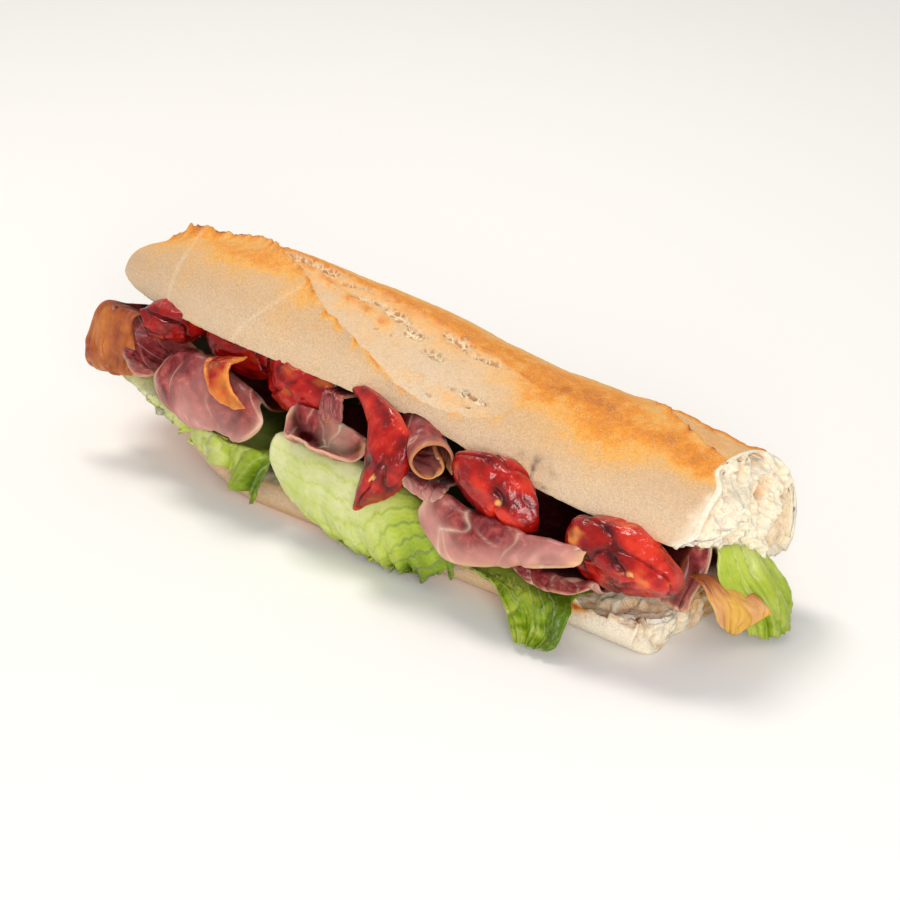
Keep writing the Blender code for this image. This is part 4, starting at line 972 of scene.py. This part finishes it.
def tomato_lump(node, centre, radii, axis, seed, seeds=(), streak=0.3, bend=0, bright=0.6, lit=0, swell=0):
    """A rounded polyhedron, stretched to its radii along axis, then swollen, folded, wrinkled and bent.

    Towards a unit vector w its radius is (sum of max(n.w / d, 0)**p + 0.93**p)**(-1/p), over faces with
    normals n at distances d, where p is sharp. Each seed is given by its turn and its angle from the axis.
    """
    axis = np.array(axis, float) / np.linalg.norm(axis)
    side = np.cross(axis, (0, 1, 0))
    side /= np.linalg.norm(side)
    turned = np.stack([axis, side, np.cross(side, axis)])
    polar = np.pi * np.linspace(0, 1, 142)[1:-1, None]
    turn = 2 * np.pi * np.arange(190)[None] / 190
    off_axis = np.sin(polar)
    unit = np.stack([np.cos(polar) + 0 * turn, off_axis * np.cos(turn), off_axis * np.sin(turn)], -1)
    random = np.random.default_rng(seed)
    facing = random.normal(size=(15, 3))
    facing /= np.linalg.norm(facing, axis=1)[:, None]
    facing = np.concatenate([facing, [(1, 0, 0), (-1, 0, 0)]])
    distance = np.append(random.uniform(0.74, 0.98, 15), [0.97, 0.97])
    sharp = 16
    radius = ((np.maximum(unit @ facing.T / distance, 0) ** sharp).sum(-1) + 0.93**sharp) ** (-1 / sharp)
    shape = unit * (1.06 * radius[..., None]) * np.array(radii)
    shape[..., 1:] *= (1 + swell * unit[..., :1]) / np.maximum(off_axis[..., None], 0.05) ** (1.3 * swell)
    away = shape / np.linalg.norm(shape, axis=-1, keepdims=True)
    long = shape * np.array([0.5, 1, 1])
    folds = np.abs(cloud(long, 9, seed, 2))
    off = -1.0 * np.exp(-((folds / 0.10) ** 2)) + 0.35 * cloud(shape, 9, seed + 2, 2)
    off = off - 0.75 * np.abs(cloud(shape * np.array([0.7, 1.0, 1.0]), 3.8, seed + 7, 2)) + 0.6
    dots = np.zeros(off.shape)
    for spin, low in seeds:
        toward = np.array([np.cos(low), np.sin(low) * np.cos(spin), np.sin(low) * np.sin(spin)])
        near = np.linalg.norm((unit - toward) * radii, axis=-1)
        dots = np.maximum(dots, smooth(-near, -1.3, -0.6))
    off = off + 0.5 * dots
    shape = shape + away * (off * np.sin(polar) ** 0.3)[..., None]
    shape[..., 1] += bend * (shape[..., 0] / radii[0]) ** 2
    points = np.array(centre) + shape @ turned
    poles = [points[0].mean(0), points[-1].mean(0)]
    # Lighter in random patches and, as painted light, towards the end the axis points to, by lit
    brighter = smooth(cloud(long, 11, seed + 8, 2) + lit * shape[..., 0] / radii[0], 0.0, 0.6)
    # Painted shade in the creases of the folds
    deep = 0.7 * np.exp(-((folds / 0.12) ** 2)) - bright * brighter
    lines = smooth(cloud(long, 6, seed + 5, 3), 0.5, 0.95) * streak
    values = {"deep": deep, "streak": lines, "seed": dots}
    values = {key: np.concatenate([value.ravel(), [0, 0]]) for key, value in values.items()}
    corners = np.concatenate([points.reshape(-1, 3), poles])
    faces = rings_faces(*points.shape[:2])
    mesh_piece(turned_name(node), corners, faces, tomato, node, values)


tomato_lump("tomato_tip", (-86.5, -21, 50.5), (12.5, 8, 7.5), (1, 0.1, 0), 51)
tomato_lump("tomato_dark", (-59, -17, 46.5), (15, 7.5, 5), (1, 0, -0.12), 52)
tomato_lump("tomato_red", (-23, -25, 46.5), (14, 8.5, 7), (1, 0, -0.1), 53)
tomato_lump("tomato_long", (25, -35.8, 45.5), (20, 8, 5), (9.5, -8.3, -15.2), 54, [(4.9, 0.95)],
    bend=-12, bright=1.1, swell=0.32)
tomato_lump("tomato_bright", (67, -31.5, 40.5), (17.5, 9, 7.5), (1, 0, -0.4), 55, [(4.9, 1.3)],
    bright=1.1, lit=0.3)
tomato_lump("tomato_torn", (113, -29.5, 32.5), (19, 11, 8), (1, 0.05, -0.05), 56, [(4.7, 1.2)],
    streak=0.8, bright=1.1, lit=0.5)


def tomato_skin():
    """A strip of skin over its rows, rippled all over and thinner at its edges."""
    a, b = np.meshgrid(np.linspace(0, 1, 80), np.linspace(0, 1, 100))
    rows = [
        outer((-58, -29, 47.5), (-45, -27, 50)),
        outer((-57, -35, 48), (-45, -35, 50)),
        outer((-52, -40, 45.5), (-41, -39, 45)),
        outer((-47, -41.5, 40.5), (-30, -41, 39), (0, -1, -2)),
    ]
    grid = draped(rows, a, b * (0.95 + 0.05 * cloud(np.stack([a * 20, 0 * a, 0 * a], -1), 6, 351, 3)))
    grid = grid + normals(grid) * (0.7 * cloud(grid, 7, 352, 3) + 0.4 * cloud(grid, 2.5, 353, 2))[..., None]
    edge = np.minimum(np.minimum(a, 1 - a), 1 - b)
    streak = 0.75 * smooth(1 - edge, 0.75, 1.0) + 0.5 * cloud(grid, 5, 354, 3) + 0.25 * smooth(b, 0, 0.5)
    values = {"deep": 0 * a, "streak": np.clip(streak, 0, 1), "seed": 0 * a}
    slab("skin_strip", grid, 0.4 + 0.6 * smooth(edge, 0, 0.05), tomato, "tomato_skin", values)


tomato_skin()

# Floor, light and camera
# A plain pale floor and a pale studio: a broad soft light over the back left, a wide soft one in front on
# the right that reaches into the filling, and the camera at the photograph's angle.
floor_mesh = bpy.data.meshes.new("floor")
side, floor_z = 3.0, -0.0002
corners = [(-side, -side), (side, -side), (side, side), (-side, side)]
floor_mesh.from_pydata([(x, y, floor_z) for x, y in corners], [], [(0, 1, 2, 3)])
floor = bpy.data.objects.new("floor", floor_mesh)
bpy.context.scene.collection.objects.link(floor)
pale, tree, shader, place = new_material("pale matt floor")
shader.inputs["Base Color"].default_value = linear("#F6F5F3")
shader.inputs["Roughness"].default_value = 0.9
floor_mesh.materials.append(pale)

studio = bpy.data.worlds.new("studio")
studio.use_nodes = True
studio.node_tree.nodes["Background"].inputs[0].default_value = (1, 1, 1, 1)
studio.node_tree.nodes["Background"].inputs[1].default_value = 0.48
bpy.context.scene.world = studio
bpy.context.scene.view_settings.view_transform = "Standard"


def soft_light(name, place, aim, size, power, tint):
    """A square lamp at a place in metres that faces the point aimed at."""
    lamp = bpy.data.lights.new(name, "AREA")
    lamp.shape, lamp.size, lamp.energy, lamp.color = "SQUARE", size, power, linear(tint)[:3]
    made = bpy.data.objects.new(name, lamp)
    bpy.context.scene.collection.objects.link(made)
    made.location = place
    toward = np.array(aim) - np.array(place)
    made.rotation_euler = mathutils.Vector(toward).to_track_quat("-Z", "Y").to_euler()


soft_light("key light", (-0.35, 0.15, 1.0), (0, 0, 0.03), 0.35, 5.8, "#FFF8EE")
soft_light("front fill", (0.82, -0.78, 0.45), (0, 0, 0.03), 0.45, 8.2, "#FFFFFF")

turn, rise, reach = math.radians(41.3), math.radians(25.0), 0.90
aim = np.array([0.0188, 0.0, 0.0275])
back = np.array([math.sin(turn) * math.cos(rise), -math.cos(turn) * math.cos(rise), math.sin(rise)])
camera_data = bpy.data.cameras.new("camera")
sensor, focal_pixels, picture_pixels = 36.0, 2797, 900
camera_data.sensor_width = sensor
camera_data.lens = sensor * focal_pixels / picture_pixels
camera = bpy.data.objects.new("camera", camera_data)
bpy.context.scene.collection.objects.link(camera)
camera.location = aim + reach * back
camera.rotation_euler = mathutils.Vector(-back).to_track_quat("-Z", "Y").to_euler()
bpy.context.scene.camera = camera
